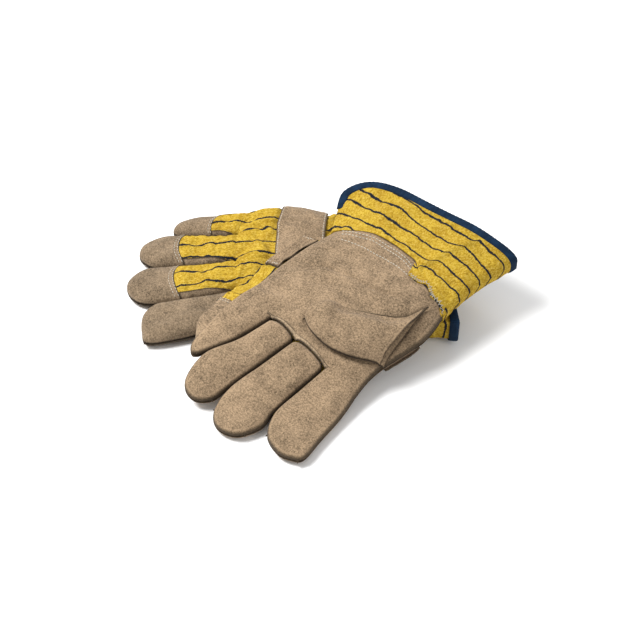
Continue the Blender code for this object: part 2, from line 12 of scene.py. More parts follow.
import bpy
import numpy as np
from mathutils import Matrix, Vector

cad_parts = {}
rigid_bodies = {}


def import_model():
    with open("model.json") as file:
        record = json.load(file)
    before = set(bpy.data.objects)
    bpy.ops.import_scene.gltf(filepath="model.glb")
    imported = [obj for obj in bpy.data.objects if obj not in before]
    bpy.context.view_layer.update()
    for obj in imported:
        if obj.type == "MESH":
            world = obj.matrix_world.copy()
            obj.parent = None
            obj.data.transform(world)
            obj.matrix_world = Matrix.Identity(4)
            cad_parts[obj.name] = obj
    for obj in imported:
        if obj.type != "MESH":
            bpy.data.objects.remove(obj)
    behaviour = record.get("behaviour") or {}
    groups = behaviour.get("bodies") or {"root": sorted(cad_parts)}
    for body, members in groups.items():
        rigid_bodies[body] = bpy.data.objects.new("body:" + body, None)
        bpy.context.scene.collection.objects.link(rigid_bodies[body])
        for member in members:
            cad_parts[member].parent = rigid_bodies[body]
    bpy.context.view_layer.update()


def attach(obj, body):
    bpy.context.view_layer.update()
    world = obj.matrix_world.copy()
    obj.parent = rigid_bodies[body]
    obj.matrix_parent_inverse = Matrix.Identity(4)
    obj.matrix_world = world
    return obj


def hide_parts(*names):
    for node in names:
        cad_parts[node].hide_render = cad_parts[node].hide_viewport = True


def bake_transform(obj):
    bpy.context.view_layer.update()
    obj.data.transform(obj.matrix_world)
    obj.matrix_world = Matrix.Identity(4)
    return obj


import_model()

MM = 0.001
CENTRE = (-0.5, 6.45)   # middle of the pair in plan, the origin of the frame

# Sizes in millimetres, as in the CAD part
LEATHER = 1.4
CANVAS = 0.9
COTTON = 0.7
ELASTIC = 1.0
TAPE = 0.8
CLEAR_OF_TABLE = 0.15
SEAM_HALF = 1.85        # half the height of the glove just inside a seam
SEAM_RAISE = 3.4        # the left glove's little-finger seam lies this much above the middle
BACK_BULGE = 19.0       # and its back stands out about this much beyond that seam
BULGE_REACH = 24.0      # as far as this from the seam
SEAM_LIP = 0.42         # half the space between the two edges that meet at a seam
LEATHER_SLACK = 1.1     # the most that leather rises or dips
CUT_EDGE_STEP = 1.1     # the left palm's cut edge is this much above the back, at the little finger
SEAM_ROLL = 1.8         # how wide the leather's turned edge is
FINGER_GAP = 0.55       # half the space between two neighbouring fingers
BINDING_DEPTH = 5.2
BINDING_FIT = 0.45
LINING_GAP = 1.4
THUMB_RADIUS = 12.0
THUMB_RISE = 4.2
THUMB_FALL = 1.2
THUMB_CLEARANCE = 0.9
THUMB_HUG = 0.9         # how closely the thumb's far side lies on the palm
STRAP_CLEARANCE = 0.35
CELL = 0.95      # size of a face in a fine grid
SIM_CELL = 2.3          # and in a simulated one
SIM_FRAMES = 26
SIM_SCALE = 10 * MM     # the cloth is simulated at ten times its size
STRIPE_PITCH = 13.2     # of the hand's canvas
CUFF_PITCH = 11.2
STRIPE_WIDTH = 1.55
WELT = 1.0              # thickness of the welt's leather
HAND_WIDTH = 122.0      # the hand's sheets, which set how many faces they have
HAND_LENGTH = 95.0
FINGER_LENGTH = 75.0
FINGER_LONGEST = 80.0
CUFF_LENGTH = 66.0
THUMB_SIDE = 0.075      # part of the left back's width that is leather, at the thumb side
FLAT_END = 0.90         # the left back lies flat up to this part of its width,
TURN_START = 0.905      # turns over the edge from this one,
TURN_LENGTH = 46.0      # and is this long where it turns
STRIP_TAPER = 0.30      # part of a finger's length over which its side strips widen
BEND_REACH = (4.5, 19.0)    # distances from a finger's base at which bend works out places, which it doesn't use
FLATTENED = 0.25        # relief left in the leather that a glove lies on
HAND_LOT, CANVAS_LOT = 0, 9000      # the palm's piece of leather, and the backs' piece of canvas

FINGERS = ("index", "middle", "ring", "little")
CANVAS_BACKED = ("middle", "ring", "little")
HAND_BODY = {"left": "left_hand", "right": "right_glove"}
LEATHER_TONE = {"left": "leather", "right": "leather_shade"}

# What a panel is cut from: its material, its thickness and its slot
CLOTHS = {
    "leather": ("leather", LEATHER, "split_leather"),
    "leather_shade": ("leather_shade", LEATHER, "split_leather"),
    "welt": ("leather_edge", WELT, "split_leather"),
    "hand_canvas": ("hand_canvas", CANVAS, "back_canvas"),
    "cuff_canvas": ("cuff_canvas", CANVAS, "cuff_canvas"),
    "cotton": ("cotton", COTTON, "cotton_lining"),
    "elastic": ("elastic", ELASTIC, "elastic_tape"),
}

# Creases in the left palm and thumb: points along each, then its width and its depth
PALM_CREASES = (
    (((26, 92), (14, 80), (2, 76)), 1.6, 0.8),
    (((40, 30), (12, 24), (-14, 22), (-34, 16)), 2.0, 1.2),
    (((46, 66), (30, 70), (14, 68)), 2.2, 0.9),
)
THUMB_CREASE = (((-46, 30), (-30, 44), (-10, 52)), 3.0, 0.5)

# Where the rows of stitches run on the left glove: beside the wrist seam, and on the cuff next to it
WRIST_STITCHES = (
    ((50.0, -5.2), (38.0, -8.6), (24.0, -12.8), (8.0, -12.9), (-8.0, -11.8), (-17.0, -9.0)),
    ((48.0, -2.4), (38.0, -5.6), (24.0, -9.9), (8.0, -10.2), (-8.0, -9.0), (-18.0, -6.4)),
    ((44.0, 2.2), (29.5, -0.8), (9.0, -2.4), (-8.0, -2.0), (-20.0, -0.4)),
)
CUFF_STITCHES = (
    ((-25.0, -9.5), (-40.0, -8.0), (-56.0, -6.5)),
    ((-26.0, -12.5), (-40.0, -11.0), (-56.0, -9.5)),
)
CUFF_TUCK = ((-21.0, -8.0), (-25.0, -22.0), (-29.0, -40.0), (-36.0, -58.0))
FLAP_WRIST_EDGE = ((-17.0, -11.5), (-28.0, -6.5), (-40.0, -5.0), (-57.0, -2.5))
FLAP_RAW_EDGE = ((-21.5, 0.5), (-31.0, 0.8), (-39.0, -1.2), (-46.0, 3.6), (-52.0, 2.6), (-58.2, 4.6))

# Heights down each glove: distance from the wrist, edge rounding radius, rise of the upper sheet,
# fall of the lower sheet, height of the seam, and half the height at the thumb and little-finger seams
LEFT_PROFILE = (
    (-72.0, 42.0, 15.0, 8.5, 12.0, 2.3, 6.0),
    (0.0, 24.0, 11.0, 4.0, 6.5, 1.85, 1.85),
    (40.0, 15.0, 6.5, 3.5, 5.8, 1.85, 1.85),
    (88.0, 14.0, 6.0, 3.5, 5.6, 1.85, 1.85),
    (170.0, 12.0, 4.5, 2.4, 4.4, 1.85, 1.85),
)
RIGHT_PROFILE = (
    (-72.0, 36.0, 2.5, 4.0, 14.2, 8.5, 5.0),
    (0.0, 20.0, 11.0, 4.0, 5.85, 1.85, 1.85),
    (40.0, 15.0, 9.0, 5.0, 6.85, 1.85, 1.85),
    (88.0, 14.0, 8.0, 4.5, 6.35, 1.85, 1.85),
    (182.0, 12.0, 5.0, 3.0, 4.85, 1.85, 1.85),
)

# Flat patterns: the seams between fingers from the index side outwards, and each fingertip
LEFT_PATTERN = {
    "gaps": (
        ((-53.5, 88.0), (-57.0, 104.0), (-61.0, 128.0)),
        ((-24.0, 88.0), (-22.5, 114.0), (-22.5, 136.0)),
        ((5.5, 88.0), (9.5, 116.0), (13.5, 145.0)),
        ((29.5, 88.0), (34.5, 115.0), (43.5, 139.0)),
        ((60.0, 88.0), (59.5, 106.0), (57.0, 126.0)),
    ),
    "tips": (
        ((-64.5, 148.0), (-58.0, 154.5), (-48.0, 157.0), (-33.0, 152.0)),
        ((-24.5, 150.0), (-18.0, 166.0), (-4.0, 171.0), (8.0, 164.0)),
        ((16.0, 158.0), (24.0, 166.5), (34.5, 166.5), (41.0, 158.0)),
        ((46.5, 144.0), (50.0, 146.5), (54.0, 143.0), (56.0, 135.0)),
    ),
    "thumb_side": ((-58.0, 3.0), (-60.0, 14.0), (-60.0, 26.0), (-57.0, 39.0), (-52.5, 58.0), (-51.5, 72.0),
                   (-53.5, 88.0)),
    "little_side": ((60.0, -4.0), (61.5, 20.0), (61.5, 48.0), (59.0, 70.0), (60.0, 88.0)),
    "wrist_upper": ((60.0, -4.0), (48.0, -7.0), (23.0, -16.0), (-10.0, -15.0), (-19.0, -12.0),
                    (-28.0, -3.5), (-40.0, 0.0), (-58.0, 3.0)),
    "wrist_lower": ((60.0, -4.0), (20.0, -2.0), (-20.0, 0.0), (-58.0, 3.0)),
    "cuff_little_side": ((60.0, -4.0), (66.0, -12.0), (71.5, -22.0)),
    "rim": ((71.5, -22.0), (76.0, -36.0), (64.0, -51.0), (40.0, -58.0), (12.0, -61.0),
            (-23.0, -65.5), (-46.0, -68.0), (-64.0, -71.0)),
    "cuff_thumb_side": ((-58.0, 3.0), (-57.0, -20.0), (-59.0, -48.0), (-64.0, -71.0)),
    "caps": {"middle": 0.64, "ring": 0.62, "little": 0.16},
    "thumb": ((-50.0, 10.0), (-42.0, 28.0), (-14.0, 45.0), (3.0, 53.0), (11.0, 65.0),
              (6.0, 77.0), (-14.0, 80.5), (-36.0, 74.0), (-52.5, 61.0)),
    "strap": ((0.28, 0.12), (0.62, 0.57)),
}
RIGHT_PATTERN = {
    "gaps": (
        ((-58.0, 88.0), (-65.0, 106.0), (-72.0, 124.0)),
        ((-25.0, 88.0), (-31.0, 112.0), (-35.5, 136.0)),
        ((7.0, 90.0), (4.0, 118.0), (2.5, 142.0)),
        ((37.0, 90.0), (37.0, 112.0), (38.0, 128.0)),
        ((63.0, 82.0), (62.0, 98.0), (60.5, 108.0)),
    ),
    "tips": (
        ((-77.0, 150.0), (-66.0, 155.5), (-50.0, 156.0), (-39.0, 148.0)),
        ((-36.0, 156.0), (-28.0, 168.0), (-14.0, 171.0), (-1.0, 160.0)),
        ((4.5, 154.0), (14.0, 164.5), (27.0, 163.0), (37.0, 148.0)),
        ((39.5, 134.0), (44.0, 141.0), (53.0, 137.0), (59.5, 122.0)),
    ),
    "thumb_side": ((-58.5, 3.0), (-57.0, 24.0), (-56.0, 46.0), (-56.0, 68.0), (-58.0, 88.0)),
    "little_side": ((57.0, -2.0), (60.0, 20.0), (67.0, 48.0), (66.0, 68.0), (63.0, 82.0)),
    "wrist_upper": ((57.0, -2.0), (20.0, -3.0), (-20.0, -1.0), (-58.5, 3.0)),
    "wrist_lower": ((57.0, -2.0), (48.0, -7.0), (23.0, -16.0), (-10.0, -15.0), (-19.0, -12.0),
                    (-28.0, -3.5), (-40.0, 0.0), (-58.5, 3.0)),
    "cuff_little_side": ((57.0, -2.0), (62.0, -12.0), (68.0, -22.0)),
    "rim": ((68.0, -22.0), (73.0, -38.0), (64.0, -54.0), (40.0, -61.0), (12.0, -64.0),
            (-23.0, -68.0), (-46.0, -71.0), (-73.0, -74.0)),
    "cuff_thumb_side": ((-58.5, 3.0), (-62.0, -20.0), (-68.0, -48.0), (-73.0, -74.0)),
    "caps": {"middle": 0.56, "ring": 0.58, "little": 0.42},
    "thumb": ((-59.5, 10.0), (-72.0, 22.0), (-86.0, 46.0), (-91.0, 66.0), (-86.0, 80.0),
              (-76.0, 82.0), (-69.0, 70.0), (-63.5, 56.0), (-60.5, 42.0)),
    "strap": ((0.30, 0.24), (0.68, 0.66)),
}


# ---------------------------------------------------------------- curves, noise and grids

def smooth_step(value):
    value = np.clip(value, 0.0, 1.0)
    return value * value * (3.0 - 2.0 * value)


def arc_along(points):
    """The distance along the first axis from the first point, for a line or for each line of a grid."""
    run = np.linalg.norm(np.diff(points, axis=0), axis=-1)
    return np.concatenate([np.zeros((1, *run.shape[1:])), np.cumsum(run, axis=0)])


def by_length(dense):
    """A line as a function of the part of its length, 0 to 1."""
    length = arc_along(dense)
    length /= length[-1]
    return lambda t: np.stack([np.interp(t, length, column) for column in dense.T], -1)


def smooth_curve(points):
    """A Catmull-Rom curve through the points."""
    points = np.asarray(points, float)
    if len(points) == 2:
        return by_length(points)
    padded = np.vstack([2 * points[0] - points[1], points, 2 * points[-1] - points[-2]])
    dense = []
    for k in range(len(points) - 1):
        a, b, c, d = padded[k:k + 4]
        t = np.linspace(0.0, 1.0, 24, endpoint=False)[:, None]
        dense.append(0.5 * (2 * b + (c - a) * t + (2 * a - 5 * b + 4 * c - d) * t**2
                            + (3 * b - 3 * c + d - a) * t**3))
    return by_length(np.vstack(dense + [points[-1:]]))


def traced(points, count):
    """Places spread evenly along the smooth curve through the points."""
    return smooth_curve(points)(np.linspace(0, 1, count))


def unit(vectors):
    """Each vector of a line or a grid, made 1 long."""
    return vectors / np.linalg.norm(vectors, axis=-1)[..., None]


def beside(run):
    """The direction to the left of each direction in plan."""
    return np.stack([-run[:, 1], run[:, 0]], 1)


def sub_curve(curve, start, end):
    return lambda t: curve(start + (end - start) * np.asarray(t, float))


def coons_patch(base, far, near_side, far_side):
    """The plan position inside four boundary curves; base and far run from near_side to far_side."""
    def place(s, t):
        s, t = np.asarray(s, float), np.asarray(t, float)
        across = (1 - t)[..., None] * base(s) + t[..., None] * far(s)
        along = (1 - s)[..., None] * near_side(t) + s[..., None] * far_side(t)
        corners = ((1 - s) * (1 - t))[..., None] * base(np.zeros_like(s))
        corners = corners + (s * (1 - t))[..., None] * base(np.ones_like(s))
        corners = corners + ((1 - s) * t)[..., None] * far(np.zeros_like(s))
        corners = corners + (s * t)[..., None] * far(np.ones_like(s))
        return across + along - corners
    return place


def fingertip_patch(outline, base):
    """The patch inside an outline that goes up one side, round a tip and down the other to its base."""
    return coons_patch(base, sub_curve(outline, 0.40, 0.60),
                       sub_curve(outline, 0.0, 0.40), sub_curve(outline, 1.0, 0.60))


def distance_to(plan, line):
    """Distance from each plan position to a line of points."""
    flat = plan.reshape(-1, 2)
    starts, runs = line[:-1], np.diff(line, axis=0)
    size = np.maximum((runs**2).sum(1), 1e-9)
    part = np.clip(((flat[:, None] - starts) * runs).sum(2) / size, 0, 1)
    gap = flat[:, None] - (starts + part[..., None] * runs)
    return np.sqrt((gap**2).sum(2)).min(1).reshape(plan.shape[:-1])


def noise(points, size, seed, waves=14):
    """Smooth noise about -1 to 1, with lumps of about that size."""
    random = np.random.default_rng(seed)
    total = np.zeros(points.shape[:-1])
    for _ in range(waves):
        direction = random.normal(size=points.shape[-1])
        direction *= random.uniform(0.6, 1.5) * np.pi / (size * np.linalg.norm(direction))
        total += np.sin(points @ direction + random.uniform(0, 2 * np.pi))
    return total * math.sqrt(2.0 / waves)


def resample(values, old, new):
    """Values on a line of steps, read between them by a smooth curve, along the first axis."""
    place = np.clip(np.interp(new, old, np.arange(len(old))), 0, len(old) - 1.000001)
    k = place.astype(int)
    f = (place - k).reshape(-1, *([1] * (values.ndim - 1)))
    last = len(old) - 1
    a, b, c, d = (values[np.clip(k + i, 0, last)] for i in (-1, 0, 1, 2))
    return 0.5 * (2 * b + (c - a) * f + (2 * a - 5 * b + 4 * c - d) * f**2 + (3 * b - 3 * c + d - a) * f**3)


def grid_faces(rows, columns):
    i, j = np.meshgrid(np.arange(rows - 1), np.arange(columns - 1), indexing="ij")
    a = (i * columns + j).ravel()
    return np.stack([a, a + columns, a + columns + 1, a + 1], 1)


def sharpen_border(mesh):
    """Marks a sheet's border edges sharp, so that its cut edge doesn't shade its face."""
    corners = np.zeros(len(mesh.loops), np.int32)
    mesh.loops.foreach_get("edge_index", corners)
    uses = np.bincount(corners, minlength=len(mesh.edges))
    sharp = mesh.attributes.new("sharp_edge", "BOOLEAN", "EDGE")
    sharp.data.foreach_set("value", uses == 1)


def mesh_object(name, vertices, faces):
    mesh = bpy.data.meshes.new(name)
    mesh.from_pydata([tuple(v) for v in vertices], [], [tuple(f) for f in faces])
    mesh.update()
    mesh.shade_smooth()
    piece = bpy.data.objects.new(name, mesh)
    bpy.context.scene.collection.objects.link(piece)
    return piece


# ---------------------------------------------------------------- the shape of a glove

class Glove:
    """One glove's pattern and its two sheets, upper and lower, placed on what it lies on."""

    def __init__(self, side, wrist, heading, profile, pattern, ground):
        self.side = side
        self.wrist = np.array(wrist)
        turn = math.radians(heading)
        self.forward = np.array([math.cos(turn), math.sin(turn)])
        self.across = np.array([math.sin(turn), -math.cos(turn)])
        self.profile = np.array(profile)
        self.pattern = pattern
        self.ground = ground
        self.fingers = {name: self.finger_curves(i) for i, name in enumerate(FINGERS)}
        sides = [traced(pattern[k], 60)
                 for k in ("thumb_side", "little_side", "cuff_thumb_side", "cuff_little_side")]
        outlines = [curves["outline"](np.linspace(0, 1, 160)) for curves in self.fingers.values()]
        self.edges = sides + outlines

    def finger_curves(self, index):
        """A finger's outline from the base, round the tip and back, and its four-sided patch."""
        gaps = self.pattern["gaps"]
        near = np.array(gaps[index]) + [FINGER_GAP if index else 0.0, 0.0]
        far = np.array(gaps[index + 1]) - [FINGER_GAP if index < 3 else 0.0, 0.0]
        tip = np.array(self.pattern["tips"][index])
        outline = smooth_curve(np.vstack([near, tip, far[::-1]]))
        base = smooth_curve([near[0], far[0]])
        return {"outline": outline, "patch": fingertip_patch(outline, base), "base": (near[0], far[0])}

    def heights(self, y):
        columns = self.profile.T
        return [np.interp(y, columns[0], column) for column in columns[1:]]

    def edge_distance(self, plan):
        nearest = np.full(plan.shape[:-1], np.inf)
        for line in self.edges:
            nearest = np.minimum(nearest, distance_to(plan, line))
        return nearest

    def to_world(self, plan, z):
        flat = self.laid_out(plan) - np.array(CENTRE)
        return np.concatenate([flat, np.asarray(z, float)[..., None]], -1)

    def laid_out(self, plan):
        return self.wrist + plan[..., :1] * self.across + plan[..., 1:] * self.forward

    def ground_under(self, plan):
        place = self.laid_out(plan)
        return self.ground(place[..., 0], place[..., 1])

    def little_side(self, plan):
        if self.side == "right":
            return np.zeros(plan.shape[:-1])
        return smooth_step((plan[..., 0] - 20.0) / 40.0) * smooth_step((plan[..., 1] + 6.0) / 30.0)

    def bulged(self, plan, upper, edge):
        """The left glove's back stands out beyond its seam on the little-finger side."""
        if upper or self.side == "right":
            return plan
        inward = np.clip(edge / BULGE_REACH, 0, 1)
        beside_seam = smooth_step((plan[..., 0] - 38.0) / 14.0) * smooth_step((plan[..., 1] + 6.0) / 16.0)
        tip_fade = 1.0 - smooth_step((plan[..., 1] - 118.0) / 28.0)
        out = BACK_BULGE * np.sin(np.pi * np.sqrt(inward)) * beside_seam * tip_fade
        return plan + np.stack([out, 0 * out], -1)

    def sheet_height(self, plan, upper, edge):
        """Height of the upper or lower sheet's outer face, at a distance from the nearest edge."""
        radius, rise, fall, seam, thumb_half, little_half = self.heights(plan[..., 1])
        shift = SEAM_RAISE * self.little_side(plan)
        rise, fall, seam = rise - shift, fall + shift, seam + shift
        bulge = np.sqrt(1 - (1 - np.clip(edge / radius, 0, 1)) ** 2)
        sideways = smooth_step((plan[..., 0] + 60.0) / 120.0)
        half = thumb_half + (little_half - thumb_half) * sideways
        lip = half - SEAM_HALF + SEAM_LIP
        if not upper:
            lip = lip + CUT_EDGE_STEP * self.little_side(plan)
        roll = np.sqrt(1 - (1 - np.clip(edge / SEAM_ROLL, 0, 1)) ** 2)
        swell = lip + (half - lip) * roll + (rise if upper else fall) * bulge
        middle = self.ground_under(plan) + seam
        return middle + swell if upper else middle - swell

    def layer_height(self, plan, upper):
        """The same where each place says for itself whether it is on the upper sheet."""
        edge = self.edge_distance(plan)
        return np.where(upper, self.sheet_height(plan, True, edge), self.sheet_height(plan, False, edge))

    def surface(self, plan, upper):
        """World position of the outer face over a plan position."""
        edge = self.edge_distance(plan)
        height = self.sheet_height(plan, upper, edge)
        return self.to_world(self.bulged(plan, upper, edge), height)


def drape(x, y):
    """Height of the surface that the left glove lies on: over the right glove, down to the table."""
    on_hand = 21.0 * smooth_step((y + 95.0) / 100.0)
    on_cuff = 3.8 * smooth_step((x - 5.0) / 65.0) * smooth_step((y + 55.0) / 50.0)
    lift_off_strap = 1.8 * smooth_step((y + 95.0) / 60.0)
    return 0.4 + on_hand + on_cuff + lift_off_strap


def table(x, y):
    return np.zeros_like(x + y)


def hand_patch(glove, upper):
    pattern = glove.pattern
    wrist = smooth_curve(pattern["wrist_upper" if upper else "wrist_lower"][::-1])
    knuckles = by_length(np.array([gap[0] for gap in pattern["gaps"]]))
    return coons_patch(wrist, knuckles, smooth_curve(pattern["thumb_side"]),
                       smooth_curve(pattern["little_side"]))


# ---------------------------------------------------------------- panels

def edge_steps(length, cell, fine_start=True, fine_end=True):
    """Steps from 0 to 1 along a length, about a cell apart and closer together at a seam."""
    count = max(6, int(round(length / cell)))
    steps = np.linspace(0, 1, count + 1)
    extra = np.array([0.25, 0.6, 1.2]) / length
    parts = [steps]
    if fine_start:
        parts.append(extra)
    if fine_end:
        parts.append(1 - extra)
    steps = np.unique(np.concatenate(parts))
    keep = np.concatenate([[True], np.diff(steps) > 0.12 / length])
    return steps[keep]


def grid_normals(points):
    run_s = np.gradient(points, axis=0)
    run_t = np.gradient(points, axis=1)
    normal = np.cross(run_s, run_t)
    return normal / np.maximum(np.linalg.norm(normal, axis=-1), 1e-9)[..., None]


class Panel:
    """A sheet as a grid of outer points with normals, and each point's place in the cloth."""

    def __init__(self, glove, upper, s_values, t_values, place):
        self.glove, self.upper = glove, upper
        self.s, self.t = s_values, t_values
        self.fold = len(s_values)      # rows that stitches may lie on: a cuff has fewer, up to its fold
        s, t = np.meshgrid(s_values, t_values, indexing="ij")
        self.plan, self.points = place(s, t)
        self.cloth = self.plan.copy()
        self.find_normals()

    def find_normals(self):
        normal = grid_normals(self.points)
        self.flip = (np.median(normal[..., 2]) > 0) != self.upper
        self.normals = -normal if self.flip else normal

    def push(self, amount):
        """Moves the points off the sheet by an amount each."""
        self.points = self.points + self.normals * amount[..., None]
        self.find_normals()
        return self

    def sink(self, depth):
        return self.push(np.full(self.points.shape[:2], -depth))

    def border_distance(self):
        """How far each point is from the sheet's own border, along the sheet."""
        rows, columns = arc_along(self.points), arc_along(self.points.swapaxes(0, 1))
        return np.minimum(np.minimum(rows, rows[-1] - rows), np.minimum(columns, columns[-1] - columns).T)

    def piece(self, name, material, thickness, body, lot=None, seam=None):
        self.points[..., 2] = np.maximum(self.points[..., 2], CLEAR_OF_TABLE)
        faces = grid_faces(*self.points.shape[:2])
        if self.flip:
            faces = faces[:, ::-1]
        obj = mesh_object(name, self.points.reshape(-1, 3) * MM, faces)
        keep_cloth(obj, self.cloth.reshape(-1, 2), lot, self.points[..., 2].ravel())
        # Each point's distance to the nearest seam, which sets where the suede paints its seam shade and
        # highlight band.
        seam = self.border_distance() if seam is None else seam
        attribute = obj.data.attributes.new("seam", "FLOAT", "POINT")
        attribute.data.foreach_set("value", seam.astype(np.float32).ravel())
        sharpen_border(obj.data)
        obj.data.materials.append(material)
        shell = obj.modifiers.new("thickness", "SOLIDIFY")
        shell.thickness = thickness * MM
        shell.offset = -1.0
        shell.use_rim = True
        if body:
            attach(obj, body)
        return obj

    def at(self, plan_points, lift=0.0):
        """World positions and normals over plan positions, from the nearest grid points."""
        flat_plan = self.plan[:self.fold].reshape(-1, 2)
        flat_points = self.points[:self.fold].reshape(-1, 3)
        flat_normals = self.normals[:self.fold].reshape(-1, 3)
        places, normals = [], []
        for p in plan_points:
            gap = ((flat_plan - p) ** 2).sum(1)
            near = np.argpartition(gap, 4)[:4]
            weight = 1.0 / (gap[near] + 0.02)
            weight /= weight.sum()
            places.append(weight @ flat_points[near])
            normals.append(weight @ flat_normals[near])
        normals = unit(np.array(normals))
        return np.array(places) + lift * normals, normals


def keep_cloth(obj, cloth, lot=None, height=0.0):
    """Each vertex keeps its place in the cloth, in millimetres, for the materials to read.

    Pieces with the same lot were cut as one, so their pattern runs on from one to the next. The third
    number also holds the height, so that a pattern isn't drawn out down a steep side."""
    attribute = obj.data.attributes.new("cloth", "FLOAT_VECTOR", "POINT")
    if lot is None:
        lot = 100.0 * len(bpy.data.objects)
    third = np.zeros(len(cloth)) + lot + height
    flat = np.concatenate([cloth, third[:, None]], 1)
    attribute.data.foreach_set("vector", flat.astype(np.float32).ravel())


def simulated_folds(panel, swell, seed, stiffness, most=2.6):
    """How far each point of a panel moves when its cloth is larger than the space it is sewn into.

    The cloth is simulated at ten times its size on a coarser grid, with its border held."""
    size = np.linalg.norm(np.diff(panel.points, axis=0), axis=2).sum(0).mean()
    length = np.linalg.norm(np.diff(panel.points, axis=1), axis=2).sum(1).mean()
    s = np.linspace(panel.s[0], panel.s[-1], max(8, int(size / SIM_CELL)))
    t = np.linspace(panel.t[0], panel.t[-1], max(8, int(length / SIM_CELL)))
    coarse = resample(resample(panel.points, panel.s, s).swapaxes(0, 1), panel.t, t).swapaxes(0, 1)
    normal = grid_normals(coarse)
    random = np.random.default_rng(seed)
    start = coarse + normal * random.normal(scale=0.12, size=coarse.shape[:2])[..., None]
    obj = mesh_object("folding_cloth", start.reshape(-1, 3) * SIM_SCALE, grid_faces(len(s), len(t)))
    border = np.zeros((len(s), len(t)))
    border[[0, -1], :] = 1.0
    border[:, [0, -1]] = 1.0
    group = obj.vertex_groups.new(name="sewn")
    for index, weight in enumerate(border.ravel()):
        if weight > 0:
            group.add([index], float(weight), "REPLACE")
    cloth = obj.modifiers.new("cloth", "CLOTH")
    settings = cloth.settings
    settings.quality = 6
    settings.mass = 0.3
    settings.tension_stiffness = settings.compression_stiffness = 15.0
    settings.shear_stiffness = 5.0
    settings.bending_stiffness = stiffness
    settings.vertex_group_mass = "sewn"
    settings.pin_stiffness = 1.0
    settings.shrink_min = -swell
    settings.effector_weights.gravity = 0.0
    cloth.point_cache.frame_start = 1
    cloth.point_cache.frame_end = SIM_FRAMES
    scene = bpy.context.scene
    for number in range(1, SIM_FRAMES + 1):
        scene.frame_set(number)
    evaluated = obj.evaluated_get(bpy.context.evaluated_depsgraph_get())
    moved = np.zeros(len(start.reshape(-1, 3)) * 3, np.float32)
    evaluated.data.vertices.foreach_get("co", moved)
    moved = moved.reshape(coarse.shape) / SIM_SCALE
    bpy.data.objects.remove(obj, do_unlink=True)
    scene.frame_set(1)
    off = ((moved - coarse) * normal).sum(-1)
    off = most * np.tanh(off / most)
    fine = resample(resample(off, s, panel.s).swapaxes(0, 1), t, panel.t).swapaxes(0, 1)
    return -fine if panel.flip else fine


# ---------------------------------------------------------------- materials

class Nodes:
    """A short way to write a node tree."""

    def __init__(self, name):
        self.material = bpy.data.materials.new(name)
        self.material.use_nodes = True
        self.tree = self.material.node_tree
        self.shader = self.tree.nodes["Principled BSDF"]
        attribute = self.tree.nodes.new("ShaderNodeAttribute")
        attribute.attribute_name = "cloth"
        self.cloth = attribute.outputs["Vector"]

    def link(self, value, socket):
        if isinstance(value, bpy.types.NodeSocket):
            self.tree.links.new(value, socket)
        else:
            socket.default_value = value

    def math(self, operation, *values):
        node = self.tree.nodes.new("ShaderNodeMath")
        node.operation = operation
        for value, socket in zip(values, node.inputs):
            self.link(value, socket)
        return node.outputs[0]

    def wave(self, value, length):
        return self.math("SINE", self.math("MULTIPLY", value, 2 * math.pi / length))

    def split(self, vector):
        node = self.tree.nodes.new("ShaderNodeSeparateXYZ")
        self.link(vector, node.inputs[0])
        return node.outputs[0], node.outputs[1]

    def stretch(self, vector, x, y):
        node = self.tree.nodes.new("ShaderNodeVectorMath")
        node.operation = "MULTIPLY"
        self.link(vector, node.inputs[0])
        node.inputs[1].default_value = (x, y, 1.0)
        return node.outputs[0]

    def noise(self, size, detail=3.0, vector=None, roughness=0.55):
        node = self.tree.nodes.new("ShaderNodeTexNoise")
        self.link(self.cloth if vector is None else vector, node.inputs["Vector"])
        node.inputs["Scale"].default_value = 1.0 / size
        node.inputs["Detail"].default_value = detail
        node.inputs["Roughness"].default_value = roughness
        return node.outputs[0]

    def remap(self, value, low, high, to_low=0.0, to_high=1.0):
        node = self.tree.nodes.new("ShaderNodeMapRange")
        for item, socket in zip((value, low, high, to_low, to_high), node.inputs):
            self.link(item, socket)
        return node.outputs[0]

    def mix(self, part, a, b):
        node = self.tree.nodes.new("ShaderNodeMix")
        node.data_type = "RGBA"
        self.link(part, node.inputs["Factor"])
        self.link(a, node.inputs[6])
        self.link(b, node.inputs[7])
        return node.outputs[2]

    def seam(self):
        """How far the place is from the nearest seam, in millimetres."""
        node = self.tree.nodes.new("ShaderNodeAttribute")
        node.attribute_name = "seam"
        return node.outputs["Fac"]

    def finish(self, colour, height, depth, roughness=0.95, sheen=0.0, specular=0.25):
        """Depth is the height of the bump in millimetres."""
        bump = self.tree.nodes.new("ShaderNodeBump")
        bump.inputs["Strength"].default_value = 1.0
        bump.inputs["Distance"].default_value = depth * MM
        self.link(height, bump.inputs["Height"])
        self.link(bump.outputs[0], self.shader.inputs["Normal"])
        self.link(colour, self.shader.inputs["Base Color"])
        self.link(roughness, self.shader.inputs["Roughness"])
        self.shader.inputs["Specular IOR Level"].default_value = specular
        self.shader.inputs["Sheen Weight"].default_value = sheen
        self.shader.inputs["Sheen Roughness"].default_value = 0.5
        return self.material


def shaded(colour, part, more=0.0):
    """A colour made darker or lighter."""
    return tuple(min(1.0, part * c + more) for c in colour[:3]) + (1.0,)


